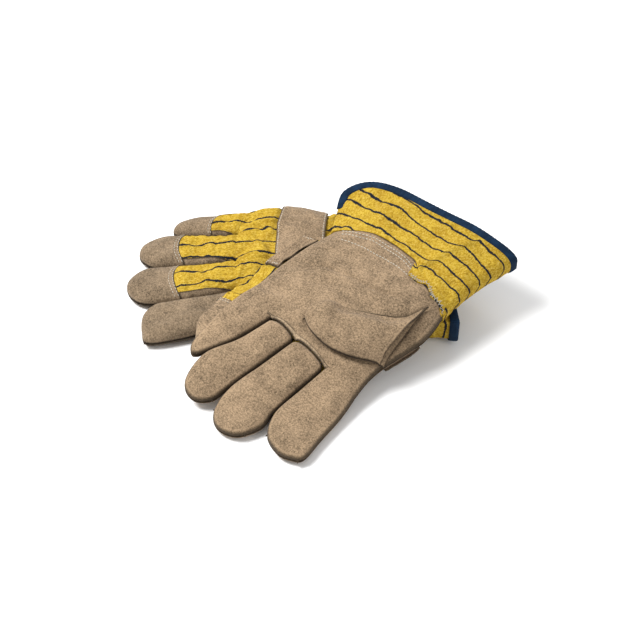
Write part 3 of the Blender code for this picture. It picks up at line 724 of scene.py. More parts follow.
def suede(name, colour):
    """Split leather: short brushed fibres, blotches where the nap lies another way, and dark specks, with a
    painted shade line along each seam and a painted highlight in a band beside it.
    """
    n = Nodes(name)
    dark = shaded(colour, 0.30)
    light = shaded(colour, 1.75)
    blotch = n.noise(11.0, 4.0, roughness=0.6)
    cloud = n.noise(42.0, 2.0)
    speck = n.noise(1.25, 3.0, roughness=0.8)
    fibre = n.noise(0.5, 3.0, n.stretch(n.cloth, 1.0, 0.55), roughness=0.7)
    tone = n.math("ADD", n.remap(blotch, 0.36, 0.64, -0.11, 0.11), n.remap(cloud, 0.35, 0.65, -0.08, 0.08))
    tone = n.math("ADD", tone, n.remap(speck, 0.34, 0.66, -0.38, 0.38))
    tone = n.math("ADD", tone, n.remap(fibre, 0.30, 0.70, -0.24, 0.24))
    shade = n.mix(n.math("ADD", 0.5, tone), dark, light)
    seam = n.seam()
    # Painted highlight: a lighter band about two millimetres in from each seam.
    painted_seam_highlight = n.remap(n.math("ABSOLUTE", n.math("SUBTRACT", seam, 1.9)), 0.0, 0.9, 0.26, 0.0)
    shade = n.mix(painted_seam_highlight, shade, light)
    # Painted shade: a dark line within about a millimetre of each seam, where the seam's recess would be in
    # shade.
    shade = n.mix(n.remap(seam, 0.25, 1.25, 0.80, 0.0), shade, shaded(colour, 0.10))
    height = n.math("ADD", n.math("MULTIPLY", fibre, 0.45), n.math("MULTIPLY", speck, 0.55))
    return n.finish(shade, height, 0.60, 0.97, sheen=0.08, specular=0.08)


def canvas(name, pitch, phase, along_y):
    """Yellow drill with thin navy stripes, a slanted weave and faded, slubby threads, with painted shade in
    the troughs of the weave.
    """
    n = Nodes(name)
    x, y = n.split(n.cloth)
    across = x if along_y else y
    slow = n.noise(17.0, 2.0)
    wander = n.remap(slow, 0.3, 0.7, -1.5, 1.5)
    place = n.math("ADD", n.math("SUBTRACT", across, phase), wander)
    turn = n.math("FRACT", n.math("DIVIDE", n.math("ADD", place, 0.5 * pitch), pitch))
    gap = n.math("ABSOLUTE", n.math("MULTIPLY", n.math("SUBTRACT", turn, 0.5), pitch))
    ragged = n.math("ADD", gap, n.remap(n.noise(0.9, 1.0), 0.3, 0.7, -0.28, 0.28))
    stripe = n.remap(ragged, 0.5 * STRIPE_WIDTH - 0.12, 0.5 * STRIPE_WIDTH + 0.18, 1.0, 0.0)
    twill = n.wave(n.math("ADD", x, n.math("MULTIPLY", y, 0.8)), 0.95)
    thread = n.wave(x if along_y else y, 0.62)
    weave = n.math("ADD", n.math("MULTIPLY", twill, 0.6), n.math("MULTIPLY", thread, 0.4))
    slub = n.noise(0.95, 3.0, n.stretch(n.cloth, 1.0, 0.45), roughness=0.8)
    patch = n.noise(9.0, 3.0)
    yellow = n.mix(n.remap(patch, 0.35, 0.68), (0.520, 0.345, 0.030, 1), (0.400, 0.240, 0.016, 1))
    yellow = n.mix(n.remap(slub, 0.50, 0.66, 0.0, 0.95), yellow, (0.200, 0.112, 0.010, 1))
    yellow = n.mix(n.remap(slub, 0.50, 0.34, 0.0, 0.75), yellow, (0.640, 0.480, 0.120, 1))
    # Painted shade: the yellow is darker in the troughs of the weave.
    yellow = n.mix(n.remap(weave, -1.0, 0.4, 0.55, 0.0), yellow, (0.190, 0.115, 0.010, 1))
    navy = n.mix(n.remap(weave, -0.2, 0.9, 0.0, 0.35), (0.006, 0.009, 0.017, 1), (0.060, 0.060, 0.045, 1))
    colour = n.mix(stripe, yellow, navy)
    height = n.math("ADD", n.math("MULTIPLY", weave, 0.32), n.math("MULTIPLY", slub, 0.5))
    height = n.math("ADD", height, n.math("MULTIPLY", stripe, 0.25))
    return n.finish(colour, height, 0.22, 0.95, sheen=0.0, specular=0.10)


def tape(name, colour):
    """Narrow ribbed tape, worn lighter in patches, with painted shade in the troughs between its ribs."""
    n = Nodes(name)
    x, y = n.split(n.cloth)
    rib = n.wave(x, 0.85)
    cross = n.wave(y, 0.7)
    worn = n.noise(6.0, 3.0)
    light = shaded(colour, 2.4, 0.004)
    shade = n.mix(n.remap(worn, 0.42, 0.75, 0.0, 0.6), colour, light)
    # Painted shade: darker in the troughs between the ribs.
    shade = n.mix(n.remap(rib, -1.0, 0.2, 0.45, 0.0), shade, shaded(colour, 0.35))
    height = n.math("ADD", rib, n.math("MULTIPLY", cross, 0.4))
    return n.finish(shade, height, 0.12, 0.85, sheen=0.02, specular=0.15)


def cotton(name, colour, ribs=0.0):
    """Plain cotton, or elastic braid when it has ribs."""
    n = Nodes(name)
    x, y = n.split(n.cloth)
    warp = n.wave(x, ribs if ribs else 0.8)
    weft = n.wave(y, 0.8)
    weave = n.math("MULTIPLY", warp, 1.0 if ribs else weft)
    fuzz = n.noise(2.2, 4.0)
    shade = n.mix(n.remap(fuzz, 0.3, 0.7), shaded(colour, 0.78), colour)
    # Painted shade: darker in the troughs of the weave.
    shade = n.mix(n.remap(weave, -1.0, 0.3, 0.3, 0.0), shade, shaded(colour, 0.5))
    return n.finish(shade, n.math("ADD", weave, fuzz), 0.22, 0.95, specular=0.2)


def sewing_thread(name, colour):
    """Twisted thread, a little soiled."""
    n = Nodes(name)
    x, y = n.split(n.cloth)
    twist = n.wave(n.math("ADD", x, y), 0.5)
    soiled = n.noise(7.0, 2.0)
    shade = n.mix(n.remap(soiled, 0.4, 0.7, 0.0, 0.7), colour, shaded(colour, 0.6))
    return n.finish(shade, twist, 0.06, 0.7, specular=0.3)


MATERIALS = {
    "leather": suede("suede_upper", (0.228, 0.161, 0.099, 1)),
    "leather_shade": suede("suede_lower", (0.178, 0.129, 0.082, 1)),
    "leather_edge": suede("suede_cut_edge", (0.30, 0.22, 0.140, 1)),
    "hand_canvas": canvas("striped_canvas", STRIPE_PITCH, 8.5, True),
    "cuff_canvas": canvas("striped_cuff_canvas", CUFF_PITCH, -42.5, False),
    "binding": tape("navy_binding", (0.0030, 0.0165, 0.042, 1)),
    "cotton": cotton("cotton_drill", (0.50, 0.47, 0.40, 1)),
    "elastic": cotton("elastic_braid", (0.42, 0.40, 0.35, 1), ribs=1.6),
    "white_thread": sewing_thread("white_thread", (0.56, 0.51, 0.42, 1)),
}


# ---------------------------------------------------------------- the parts of a glove

def leather_relief(plan, seed):
    """The slack of leather that has been worn: low rises and dips in millimetres."""
    broad = 0.75 * noise(plan, 24.0, seed) + 0.34 * noise(plan, 10.0, seed + 1)
    strength = 0.5 + 0.5 * noise(plan, 30.0, seed + 4)
    ridges = np.exp(-(noise(plan, 21.0, seed + 3, waves=5) / 0.16) ** 2) * strength
    relief = broad + 0.10 * noise(plan, 3.6, seed + 2) - 0.5 * ridges
    return LEATHER_SLACK * np.tanh(relief / LEATHER_SLACK)


def inside(plan, line):
    """Whether each plan position is inside a closed line of points."""
    x, y = plan[..., 0], plan[..., 1]
    odd = np.zeros(plan.shape[:-1], bool)
    for (x0, y0), (x1, y1) in zip(line, np.roll(line, -1, axis=0)):
        if y0 != y1:
            crosses = (y0 > y) != (y1 > y)
            odd ^= crosses & (x < x0 + (x1 - x0) * (y - y0) / (y1 - y0))
    return odd


def canvas_folds(plan, seed):
    """Long soft wrinkles that slant across the canvas, and small ones between them."""
    slanted = plan @ np.array([[1.0, 0.55], [0.35, -0.42]])
    warped = slanted + 3.0 * np.stack([noise(plan, 22.0, seed), noise(plan, 22.0, seed + 1)], -1)
    ridges = 1.0 - 2.0 * np.abs(noise(warped, 15.0, seed + 2, waves=5)).clip(0, 1)
    return 0.85 * ridges + 0.30 * noise(warped, 5.5, seed + 3)


def turned_steps(start, count):
    """Steps from start to 1 across the left glove's back, closer and closer where it turns over the edge."""
    return 1.0 - (1.0 - start) * np.linspace(1, 0, count) ** 2


def crease(plan, points, width, depth):
    """A soft line pressed into a sheet, fading at both its ends."""
    line = traced(points, 40)
    gap = distance_to(plan, line)
    ends = np.minimum(np.linalg.norm(plan - line[0], axis=-1), np.linalg.norm(plan - line[-1], axis=-1))
    return -depth * np.exp(-(gap / width) ** 2) * smooth_step(ends / (3.0 * width))


def base_line(glove):
    """The line of the seam where the middle and ring fingers' leather joins the palm."""
    gaps = [np.array(gap[0]) for gap in glove.pattern["gaps"]]
    return gaps[1:4]


def on_pattern(glove, patch, upper):
    """The place function of a panel that lies over a patch of the pattern."""
    def place(s, t):
        plan = patch(s, t)
        return plan, glove.surface(plan, upper)
    return place


def sew(sheet, name, cloth, node=None, body=None, finger=None, lot=None, seam=None):
    """Makes a panel's piece, hides the CAD part that it takes the place of, and puts it on a body; a
    finger's piece also goes to bend.
    """
    material, thickness, slot = CLOTHS[cloth]
    side = sheet.glove.side
    obj = sheet.piece(f"{side}_{name}", MATERIALS[material], thickness, body, lot, seam)
    if node:
        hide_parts(f"{side}_{node}")
    if finger:
        bend(obj, sheet.glove, finger)


def palm(glove, body):
    upper = glove.side == "left"
    sheet = Panel(glove, upper, edge_steps(HAND_WIDTH, CELL), edge_steps(HAND_LENGTH, CELL, False, False),
                  on_pattern(glove, hand_patch(glove, upper), upper))
    relief = leather_relief(sheet.plan, 11 if upper else 12)
    fade = smooth_step(glove.edge_distance(sheet.plan) / 7.0)
    if upper:
        for points, width, depth in PALM_CREASES:
            relief += crease(sheet.plan, points, width, depth)
    else:
        relief *= FLATTENED
    knuckles = distance_to(sheet.plan, np.array([gap[0] for gap in glove.pattern["gaps"]]))
    relief *= fade * smooth_step(knuckles / 6.0)
    if upper:
        thumb_line = traced(glove.pattern["thumb"], 90)
        beside_thumb = distance_to(sheet.plan, thumb_line) * np.where(inside(sheet.plan, thumb_line), -1, 1)
        relief *= smooth_step((beside_thumb + 1.0) / 7.0)
        relief -= 1.1 * smooth_step(0.7 - beside_thumb / 4.0)
    finger_seam = distance_to(sheet.plan, np.array(base_line(glove)))
    relief -= 0.9 * np.exp(-(finger_seam / 1.3) ** 2)
    sheet.push(relief)
    # Distance to the palm's seams, its finger seam and its wrist end, where the suede paints its seam shade.
    seam = np.minimum(glove.edge_distance(sheet.plan), finger_seam)
    seam = np.minimum(seam, HAND_LENGTH * sheet.t[None, :] + 0.2)
    sew(sheet, "palm_leather", LEATHER_TONE[glove.side], "palm", body, lot=HAND_LOT, seam=seam)
    return sheet


def under_strap(glove, sheet):
    """Where the knuckle strap covers the back: 1 under it, falling to 0 beside it."""
    low, high = glove.pattern["strap"]
    low_edge = (low[0] + (low[1] - low[0]) * sheet.s)[:, None]
    high_edge = (high[0] + (high[1] - high[0]) * sheet.s)[:, None]
    t = sheet.t[None, :]
    return smooth_step((t - low_edge) / 0.05 + 1.0) * smooth_step((high_edge - t) / 0.05 + 1.0)


def back(glove, body):
    upper = glove.side == "right"
    place = on_pattern(glove, hand_patch(glove, upper), upper)
    steps = edge_steps(HAND_WIDTH, CELL)
    if not upper:
        flat = steps[(steps > THUMB_SIDE) & (steps < FLAT_END)]
        steps = np.concatenate([[THUMB_SIDE], flat, turned_steps(TURN_START, int(TURN_LENGTH / CELL))])
        strip = Panel(glove, upper, np.linspace(0, THUMB_SIDE, 9),
                      np.linspace(0, 1, int(HAND_LENGTH / CELL)), place)
        sew(strip, "back_thumb_side", "leather", body=body, lot=HAND_LOT)
    sheet = Panel(glove, upper, steps, edge_steps(HAND_LENGTH, CELL, False, False), place)
    arc = arc_along(sheet.points)
    middle = np.argmin(abs(sheet.s - 0.5))
    along_cloth = arc - arc[middle] + sheet.plan[middle, :, 0]
    meets_fingers = smooth_step((sheet.t - 0.7) / 0.3) if upper else 0.0 * sheet.t
    sheet.cloth[..., 0] = along_cloth + (sheet.plan[..., 0] - along_cloth) * meets_fingers
    folds = simulated_folds(sheet, 0.05, 31 if upper else 32, stiffness=0.6)
    gather = np.exp(-((sheet.plan[..., 1] - 12.0) / 12.0) ** 2)
    ruffle = np.sin(sheet.cloth[..., 0] * 2 * np.pi / 6.3 + 1.4 * noise(sheet.plan, 18.0, 33))
    fade = smooth_step(glove.edge_distance(sheet.plan) / 8.0)
    wrinkles = canvas_folds(sheet.plan, 35) * (1.0 if upper else 0.4)
    free = 1.0 - under_strap(glove, sheet)
    sheet.push((folds + (1.9 * gather * ruffle + wrinkles) * fade) * free - 0.3 * (1.0 - free))
    sew(sheet, "back_canvas", "hand_canvas", "back", body, lot=CANVAS_LOT)


def narrowing(side, seam, t):
    """A strip's inner edge at part t of the finger: it moves out to the seam towards the knuckle."""
    widened = smooth_step(t / STRIP_TAPER)
    return side * widened + (seam + (side - seam) * 0.05) * (1 - widened)


def finger_panel(glove, finger, upper, s_range, t_range, canvas_like=False):
    """A part of a finger's upper or lower sheet, from its base to its tip.

    s_range gives its two sides as parts of the finger's width, at the finger's tip end; towards the
    base a side inside the finger moves out to the nearer seam, as the leather's side strip narrows."""
    curves = glove.fingers[finger]

    def patch(s, t):
        low, high = (narrowing(side, 0.0 if side < 0.5 else 1.0, t) for side in s_range)
        return curves["patch"](low + (high - low) * s, t)

    width = np.linalg.norm(curves["base"][1] - curves["base"][0]) * (s_range[1] - s_range[0])
    s = edge_steps(max(width, 4 * CELL), CELL)
    if glove.side == "left" and finger == "little" and not upper:
        s = np.concatenate([s[s < 0.58], turned_steps(0.60, int(52 / CELL))])
    length = FINGER_LONGEST * (t_range[1] - t_range[0])
    t = t_range[0] + (t_range[1] - t_range[0]) * edge_steps(length, CELL, t_range[0] > 0, True)
    if t_range[1] >= 1.0:
        t = np.unique(np.concatenate([t, 1 - np.array([0.2, 0.5, 0.9, 1.4, 2.0, 2.8]) / FINGER_LONGEST]))
    sheet = Panel(glove, upper, s, t, on_pattern(glove, patch, upper))
    if canvas_like:
        along = sheet.plan[..., 1] - curves["base"][0][1]
        base_middle = (curves["base"][0] + curves["base"][1]) / 2
        tip_middle = np.mean(glove.pattern["tips"][FINGERS.index(finger)], axis=0)
        lean = (tip_middle[0] - base_middle[0]) / (tip_middle[1] - base_middle[1])
        sheet.cloth[..., 0] = sheet.plan[..., 0] - lean * np.clip(along, 0, None)
    return sheet


def side_strip(glove, finger, upper, span, cap):
    """The palm-side leather that comes up beside the canvas of a finger, narrowing towards the knuckle."""
    seam, canvas_side = (span[0], span[1]) if span[0] == 0.0 else (span[1], span[0])

    def patch(s, t):
        return glove.fingers[finger]["patch"](seam + (narrowing(canvas_side, seam, t) - seam) * s, t)

    along = np.linspace(0.004, cap, int(FINGER_LENGTH * cap / CELL))
    strip = Panel(glove, upper, np.linspace(0, 1, 9), along, on_pattern(glove, patch, upper))
    puckers = 0.35 * noise(strip.plan, 4.0, 21) * (1 - strip.s)[:, None]
    return strip.push(0.5 * np.exp(-((strip.s - 1) / 0.25) ** 2)[:, None] + puckers * (strip.s > 0)[:, None])


def bend(obj, glove, finger):
    """A finger's piece: the right glove's index is put on the hand, and any other has its transform baked
    into its mesh; the places along the finger worked out here are not used.
    """
    hand = HAND_BODY[glove.side]
    if glove.side == "right" and finger == "index":
        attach(obj, hand)
        return
    near, far = glove.fingers[finger]["base"]
    middle = (near + far) / 2
    run = far - near
    out = np.array([-run[1], run[0]]) / np.linalg.norm(run)
    height = float(glove.ground_under(middle[None])[0]) + 6.0
    places = [tuple(glove.to_world((middle + reach * out)[None], np.array([height]))[0] * MM)
              for reach in BEND_REACH]
    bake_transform(obj)


def finger(glove, name, seed):
    """A finger's front, back, cap, side strips and lining. Returns the cap, if it has one."""
    palm_up = glove.side == "left"
    upper = not palm_up
    shade = LEATHER_TONE[glove.side]
    whole = (0.0, 1.0)

    def seam_fade(sheet):
        return smooth_step(glove.edge_distance(sheet.plan) / 6.0)

    front = finger_panel(glove, name, palm_up, whole, whole)
    base_gap = distance_to(front.plan, np.array(glove.fingers[name]["base"]))
    strength = 1.0 if palm_up else FLATTENED
    relief = strength * leather_relief(front.plan, seed) * seam_fade(front) * smooth_step(base_gap / 6.0)
    # Distance to the finger's seams, where the suede paints its seam shade.
    seam = glove.edge_distance(front.plan)
    lot = HAND_LOT
    if name in ("middle", "ring"):
        relief = relief - 2.1 * np.exp(-(base_gap / 1.6) ** 2)
        seam = np.minimum(seam, base_gap)
        lot = None
    front.push(relief)
    sew(front, f"{name}_front_leather", shade, f"{name}_front", finger=name, lot=lot, seam=seam)

    tip = None
    if name in CANVAS_BACKED:
        cap = glove.pattern["caps"][name]
        side = (0.12, 0.90) if upper else whole
        sheet = finger_panel(glove, name, upper, side, (0.0, cap), canvas_like=True)
        folds = simulated_folds(sheet, 0.055, seed + 2, stiffness=0.5, most=1.9)
        fade = (smooth_step(np.minimum(sheet.s, 1 - sheet.s) / 0.3)[:, None]
                * smooth_step((cap - sheet.t) * FINGER_LENGTH / 5.0)[None, :])
        sheet.push(folds + canvas_folds(sheet.plan, 35) * fade * (0.8 if upper else 0.3))
        sew(sheet, f"{name}_back_canvas", "hand_canvas", f"{name}_back", finger=name, lot=CANVAS_LOT)
        if upper:
            for label, span in (("inner", (0.0, side[0])), ("outer", (side[1], 1.0))):
                sew(side_strip(glove, name, upper, span, cap), f"{name}_{label}_side", shade, finger=name)
        tip = finger_panel(glove, name, upper, whole, (cap, 1.0))
        from_cap = (tip.t - cap)[None, :] * FINGER_LENGTH
        tip.push(0.7 * leather_relief(tip.plan, seed + 5) * seam_fade(tip)
                 + 0.45 * np.exp(-((from_cap - 1.2) / 1.6) ** 2))
        sew(tip, f"{name}_tip_leather", shade, f"{name}_tip", finger=name)
    else:
        sheet = finger_panel(glove, name, upper, whole, whole)
        sheet.push(1.1 * leather_relief(sheet.plan, seed + 5) * seam_fade(sheet))
        sew(sheet, f"{name}_back_leather", shade, f"{name}_back", finger=name)

    lining = Panel(glove, palm_up, np.linspace(0.16, 0.84, 14), np.linspace(0.02, 0.86, 30),
                   on_pattern(glove, glove.fingers[name]["patch"], palm_up))
    sew(lining.sink(LEATHER + LINING_GAP), f"{name}_cotton", "cotton", f"{name}_lining", finger=name)
    return tip


def hand_layer(glove, upper, s_range, t_low, t_high, cell, depth):
    """A sheet on or under the hand's sheet; t_low and t_high are its edges at both ends of s_range."""
    hand = hand_patch(glove, upper)

    def patch(s, t):
        part = (s - s_range[0]) / (s_range[1] - s_range[0])
        low = t_low[0] + (t_low[1] - t_low[0]) * part
        high = t_high[0] + (t_high[1] - t_high[0]) * part
        return hand(s, low + (high - low) * t)

    steps = np.linspace(*s_range, int(HAND_WIDTH * (s_range[1] - s_range[0]) / cell))
    if not upper and s_range[1] > 0.92:
        turned = turned_steps(TURN_START, int(TURN_LENGTH / cell))
        steps = np.concatenate([steps[steps < FLAT_END], turned[turned < s_range[1]], s_range[1:]])
    rows = max(6, int(HAND_LENGTH * (t_high[0] - t_low[0]) / cell))
    return Panel(glove, upper, steps, np.linspace(0, 1, rows), on_pattern(glove, patch, upper)).sink(depth)


def knuckle_strap(glove, body):
    upper = glove.side == "right"
    low, high = glove.pattern["strap"]
    reach = (0.012, 0.985) if upper else (0.012, 0.9996)
    sheet = hand_layer(glove, upper, reach, low, high, 0.8 * CELL, -(LEATHER + STRAP_CLEARANCE + 1.0))
    relief = 0.5 * noise(sheet.plan, 22.0, 51) + 0.15 * noise(sheet.plan, 6.0, 52)
    across = sheet.plan[..., 0]
    arc = arc_along(sheet.points)
    sheet.cloth[..., 0] = arc
    ribbed = smooth_step((across - 46.0) / 8.0) if not upper else smooth_step((-across - 4.0) / 8.0)
    relief += 0.50 * ribbed * np.sin(arc * 2 * np.pi / 3.4 + noise(sheet.plan, 12.0, 53))
    from_middle = np.abs(np.linspace(-1, 1, len(sheet.t)))[None, :]
    relief -= 0.55 * smooth_step((from_middle - 0.82) / 0.18)
    sheet.push(relief)
    sew(sheet, "strap_leather", "leather", "knuckle_strap", body)
    return sheet


def beside_tuck(plan):
    """How far a place is from the tuck in the left cuff, where the cloth folds over itself."""
    line = traced(CUFF_TUCK, 30)
    y = np.clip(plan[..., 1], CUFF_TUCK[-1][1], CUFF_TUCK[0][1])
    return plan[..., 0] - np.interp(-y, -line[:, 1], line[:, 0])


def cuff(glove, body):
    pattern = glove.pattern
    rim, *sides = (smooth_curve(pattern[k]) for k in ("rim", "cuff_little_side", "cuff_thumb_side"))
    patches = [coons_patch(smooth_curve(pattern[wrist]), rim, *sides)
               for wrist in ("wrist_upper", "wrist_lower")]

    def place(q, t):
        upper = q <= 1.0
        s = np.where(upper, q, 2.0 - q)
        plan = np.where(upper[..., None], patches[0](s, t), patches[1](s, t))
        return plan, glove.to_world(plan, glove.layer_height(plan, upper))

    half = edge_steps(150, CELL, True, False)
    half = np.unique(np.concatenate([half[half < 0.994], 1 - np.array([0.004, 0.0012])]))
    q = np.concatenate([half, 2.0 - half[::-1]])
    sheet = Panel(glove, True, q, np.linspace(0.0, 1.0, int(62 / CELL)), place)
    fold = sheet.fold = len(half)
    sheet.normals = outward_normals(sheet.points, fold)
    folds = simulated_folds(sheet, 0.035, 61 if glove.side == "left" else 62, stiffness=6.0, most=1.2)
    relief = folds + 0.25 * noise(sheet.plan, 20.0, 63)
    rim_gap = CUFF_LENGTH * (1 - sheet.t)[None, :]
    start_gap = CUFF_LENGTH * sheet.t[None, :]
    hold = smooth_step((rim_gap - BINDING_DEPTH - 1.0) / 9.0) * smooth_step(start_gap / 6.0)
    relief = relief * hold
    if glove.side == "left":
        gap = beside_tuck(sheet.plan[:fold])
        ridge = np.where(gap > 0, np.exp(-(gap / 7.0) ** 2), np.exp(-(gap / 2.4) ** 2))
        relief[:fold] += 2.0 * ridge * hold[0]
        tucked = 4.6 * smooth_step((1.0 - gap) / 3.0)
        sheet.cloth[:fold, :, 1] += tucked * smooth_step((start_gap + 8) / 16.0)
    sheet.points = sheet.points + sheet.normals * relief[..., None]
    sheet.normals = outward_normals(sheet.points, fold)
    sew(sheet, "cuff_canvas", "cuff_canvas", "cuff", body)
    return sheet


def outward_normals(points, fold):
    """Normals of the cuff's folded sheet; its first rows, up to the fold, face up."""
    normals = grid_normals(points)
    return -normals if np.median(normals[:fold, :, 2]) < 0 else normals


def rim_frames(glove, q_values):
    """Points round the rim, with the direction out of the cuff, and the one off its outer face."""
    rim = smooth_curve(glove.pattern["rim"])
    upper = q_values <= 1.0
    s = np.where(upper, q_values, 2.0 - q_values)
    step = 0.004
    tangent = rim(np.minimum(s + step, 1.0)) - rim(np.maximum(s - step, 0.0))
    away = beside(unit(tangent))
    fold = smooth_curve(glove.pattern["cuff_thumb_side"])
    fold_run = fold(np.array([1.0])) - fold(np.array([0.9]))
    near_fold = smooth_step((s - 0.75) / 0.2)[:, None]
    away = (1 - near_fold) * away + near_fold * fold_run / np.linalg.norm(fold_run)
    edge_points, inner = (glove.to_world(plan, glove.layer_height(plan, upper))
                          for plan in (rim(s), rim(s) - 2.0 * away))
    outward = unit(edge_points - inner)
    normal = unit(np.cross(np.gradient(edge_points, axis=0), outward))
    for _ in range(3):
        normal[1:-1] = (normal[:-2] + normal[1:-1] + normal[2:]) / 3
        normal = unit(normal)
    return edge_points, outward, normal


def binding(glove, body):
    """Tape folded over the rim: down the outside, round the edge and back along the inside."""
    edge, outward, normal = rim_frames(glove, np.linspace(0.012, 1.988, int(310 / CELL)))
    arc = arc_along(edge)
    top, bottom = BINDING_FIT, -CANVAS - BINDING_FIT
    middle, half = (top + bottom) / 2, (top - bottom) / 2
    flat = np.linspace(-BINDING_DEPTH, 0.0, 6)
    turn = np.linspace(math.pi / 2, -math.pi / 2, 9)[1:-1]
    section = [(x, top + 0.25 * math.sin(math.pi * (x / BINDING_DEPTH + 1))) for x in flat]
    section += [(half * math.cos(a), middle + half * math.sin(a)) for a in turn]
    section += [(x, bottom - 0.25 * math.sin(math.pi * (x / BINDING_DEPTH + 1))) for x in flat[::-1]]
    pucker = 0.16 * np.sin(arc * 2 * math.pi / 3.4) + 0.12 * noise(edge, 14.0, 71)
    points = np.stack([edge + out * outward + (up + np.sign(up - middle) * pucker[:, None]) * normal
                       for out, up in section], 1)
    cloth = np.stack(np.meshgrid(arc, arc_along(np.array(section)), indexing="ij"), -1)
    faces = grid_faces(*points.shape[:2])
    if np.cross(points[1, 1] - points[0, 1], points[0, 2] - points[0, 1]) @ normal[0] < 0:
        faces = faces[:, ::-1]
    obj = mesh_object(f"{glove.side}_binding_tape", points.reshape(-1, 3) * MM, faces)
    keep_cloth(obj, cloth.reshape(-1, 2))
    obj.data.materials.append(MATERIALS["binding"])
    shell = obj.modifiers.new("thickness", "SOLIDIFY")
    shell.thickness = TAPE * MM
    shell.offset = 1.0
    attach(obj, body)
    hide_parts(f"{glove.side}_cuff_binding")


def thumb(glove, body):
    """The wing thumb: two leather panels and a lining, on the palm or beside the hand."""
    on_palm = glove.side == "left"
    outline_points = np.array(glove.pattern["thumb"])
    outline = smooth_curve(outline_points)
    patch = fingertip_patch(outline, smooth_curve([outline_points[0], outline_points[-1]]))
    line = outline(np.linspace(0, 1, 200))
    soft_line = outline(np.linspace(0.0, 0.36, 60))

    def surface(s, t, upper):
        plan = patch(s, t)
        edge = distance_to(plan, line)
        far_side = smooth_step(1 - distance_to(plan, soft_line) / 15.0) if on_palm else 0.0
        bulge = np.sqrt(1 - (1 - np.clip(edge / THUMB_RADIUS, 0, 1)) ** 2)
        bulge = (1 - far_side) * bulge + far_side * smooth_step(edge / THUMB_RADIUS)
        roll = np.sqrt(1 - (1 - np.clip(edge / SEAM_ROLL, 0, 1)) ** 2)
        if on_palm:
            floor = glove.sheet_height(plan, True, glove.edge_distance(plan)) + THUMB_CLEARANCE
        else:
            floor = glove.ground_under(plan)
        hug = THUMB_HUG * far_side
        middle = floor + (SEAM_HALF + THUMB_FALL) * (1 - 0.80 * hug)
        if upper:
            swell = (SEAM_LIP + (SEAM_HALF - SEAM_LIP) * roll * (1 - 0.8 * hug)
                     + THUMB_RISE * (1 - 0.3 * far_side) * bulge)
            return plan, glove.to_world(plan, middle + swell)
        swell = SEAM_LIP + (SEAM_HALF - SEAM_LIP + THUMB_FALL * bulge) * roll * (1 - 0.80 * hug)
        return plan, glove.to_world(plan, middle - swell)

    across, along = edge_steps(62, CELL), edge_steps(66, CELL, False, True)
    along = np.unique(np.concatenate([along, 1 - np.array([0.2, 0.5, 0.9, 1.4, 2.0]) / 66.0]))
    names = ("thumb_front", "thumb_back") if on_palm else ("thumb_back", "thumb_front")
    for name, upper in zip(names, (True, False)):
        sheet = Panel(glove, upper, across, along, lambda s, t, u=upper: surface(s, t, u))
        fade = smooth_step(distance_to(sheet.plan, line) / 6.0)
        relief = (1.1 if upper else 0.2) * leather_relief(sheet.plan, 81 if upper else 82) * fade
        if upper and on_palm:
            relief += crease(sheet.plan, *THUMB_CREASE)
        sheet.push(relief)
        # Painted shade: the dark seam line is made wider and darker along the thumb's far edge, where that
        # edge's own shading doesn't show.
        far_edge_painted_shade = 1.5 * smooth_step(1 - distance_to(sheet.plan, soft_line) / 5.0) if on_palm else 0.0
        seam = sheet.border_distance() - far_edge_painted_shade
        sew(sheet, f"{name}_leather", LEATHER_TONE[glove.side], name, body, seam=seam)
    lining = Panel(glove, on_palm, np.linspace(0.22, 0.78, 26), np.linspace(0.06, 0.80, 30),
                   lambda s, t: surface(s, t, on_palm))
    sew(lining.sink(LEATHER + LINING_GAP), "thumb_cotton", "cotton", "thumb_lining", body)


def inner_layers(glove, body):
    palm_up = glove.side == "left"
    elastic = hand_layer(glove, not palm_up, (0.28, 0.86), (0.10, 0.10), (0.19, 0.19), CELL,
                         CANVAS + LINING_GAP + 0.6)
    sew(elastic, "elastic_band", "elastic", "wrist_elastic", body)
    lining = hand_layer(glove, palm_up, (0.13, 0.85), (0.16, 0.16), (0.93, 0.93), 2.0, LEATHER + LINING_GAP)
    lining.push(0.35 * noise(lining.plan, 14.0, 91))
    sew(lining, "palm_cotton", "cotton", "palm_lining", body)


# ---------------------------------------------------------------- stitches and the welt

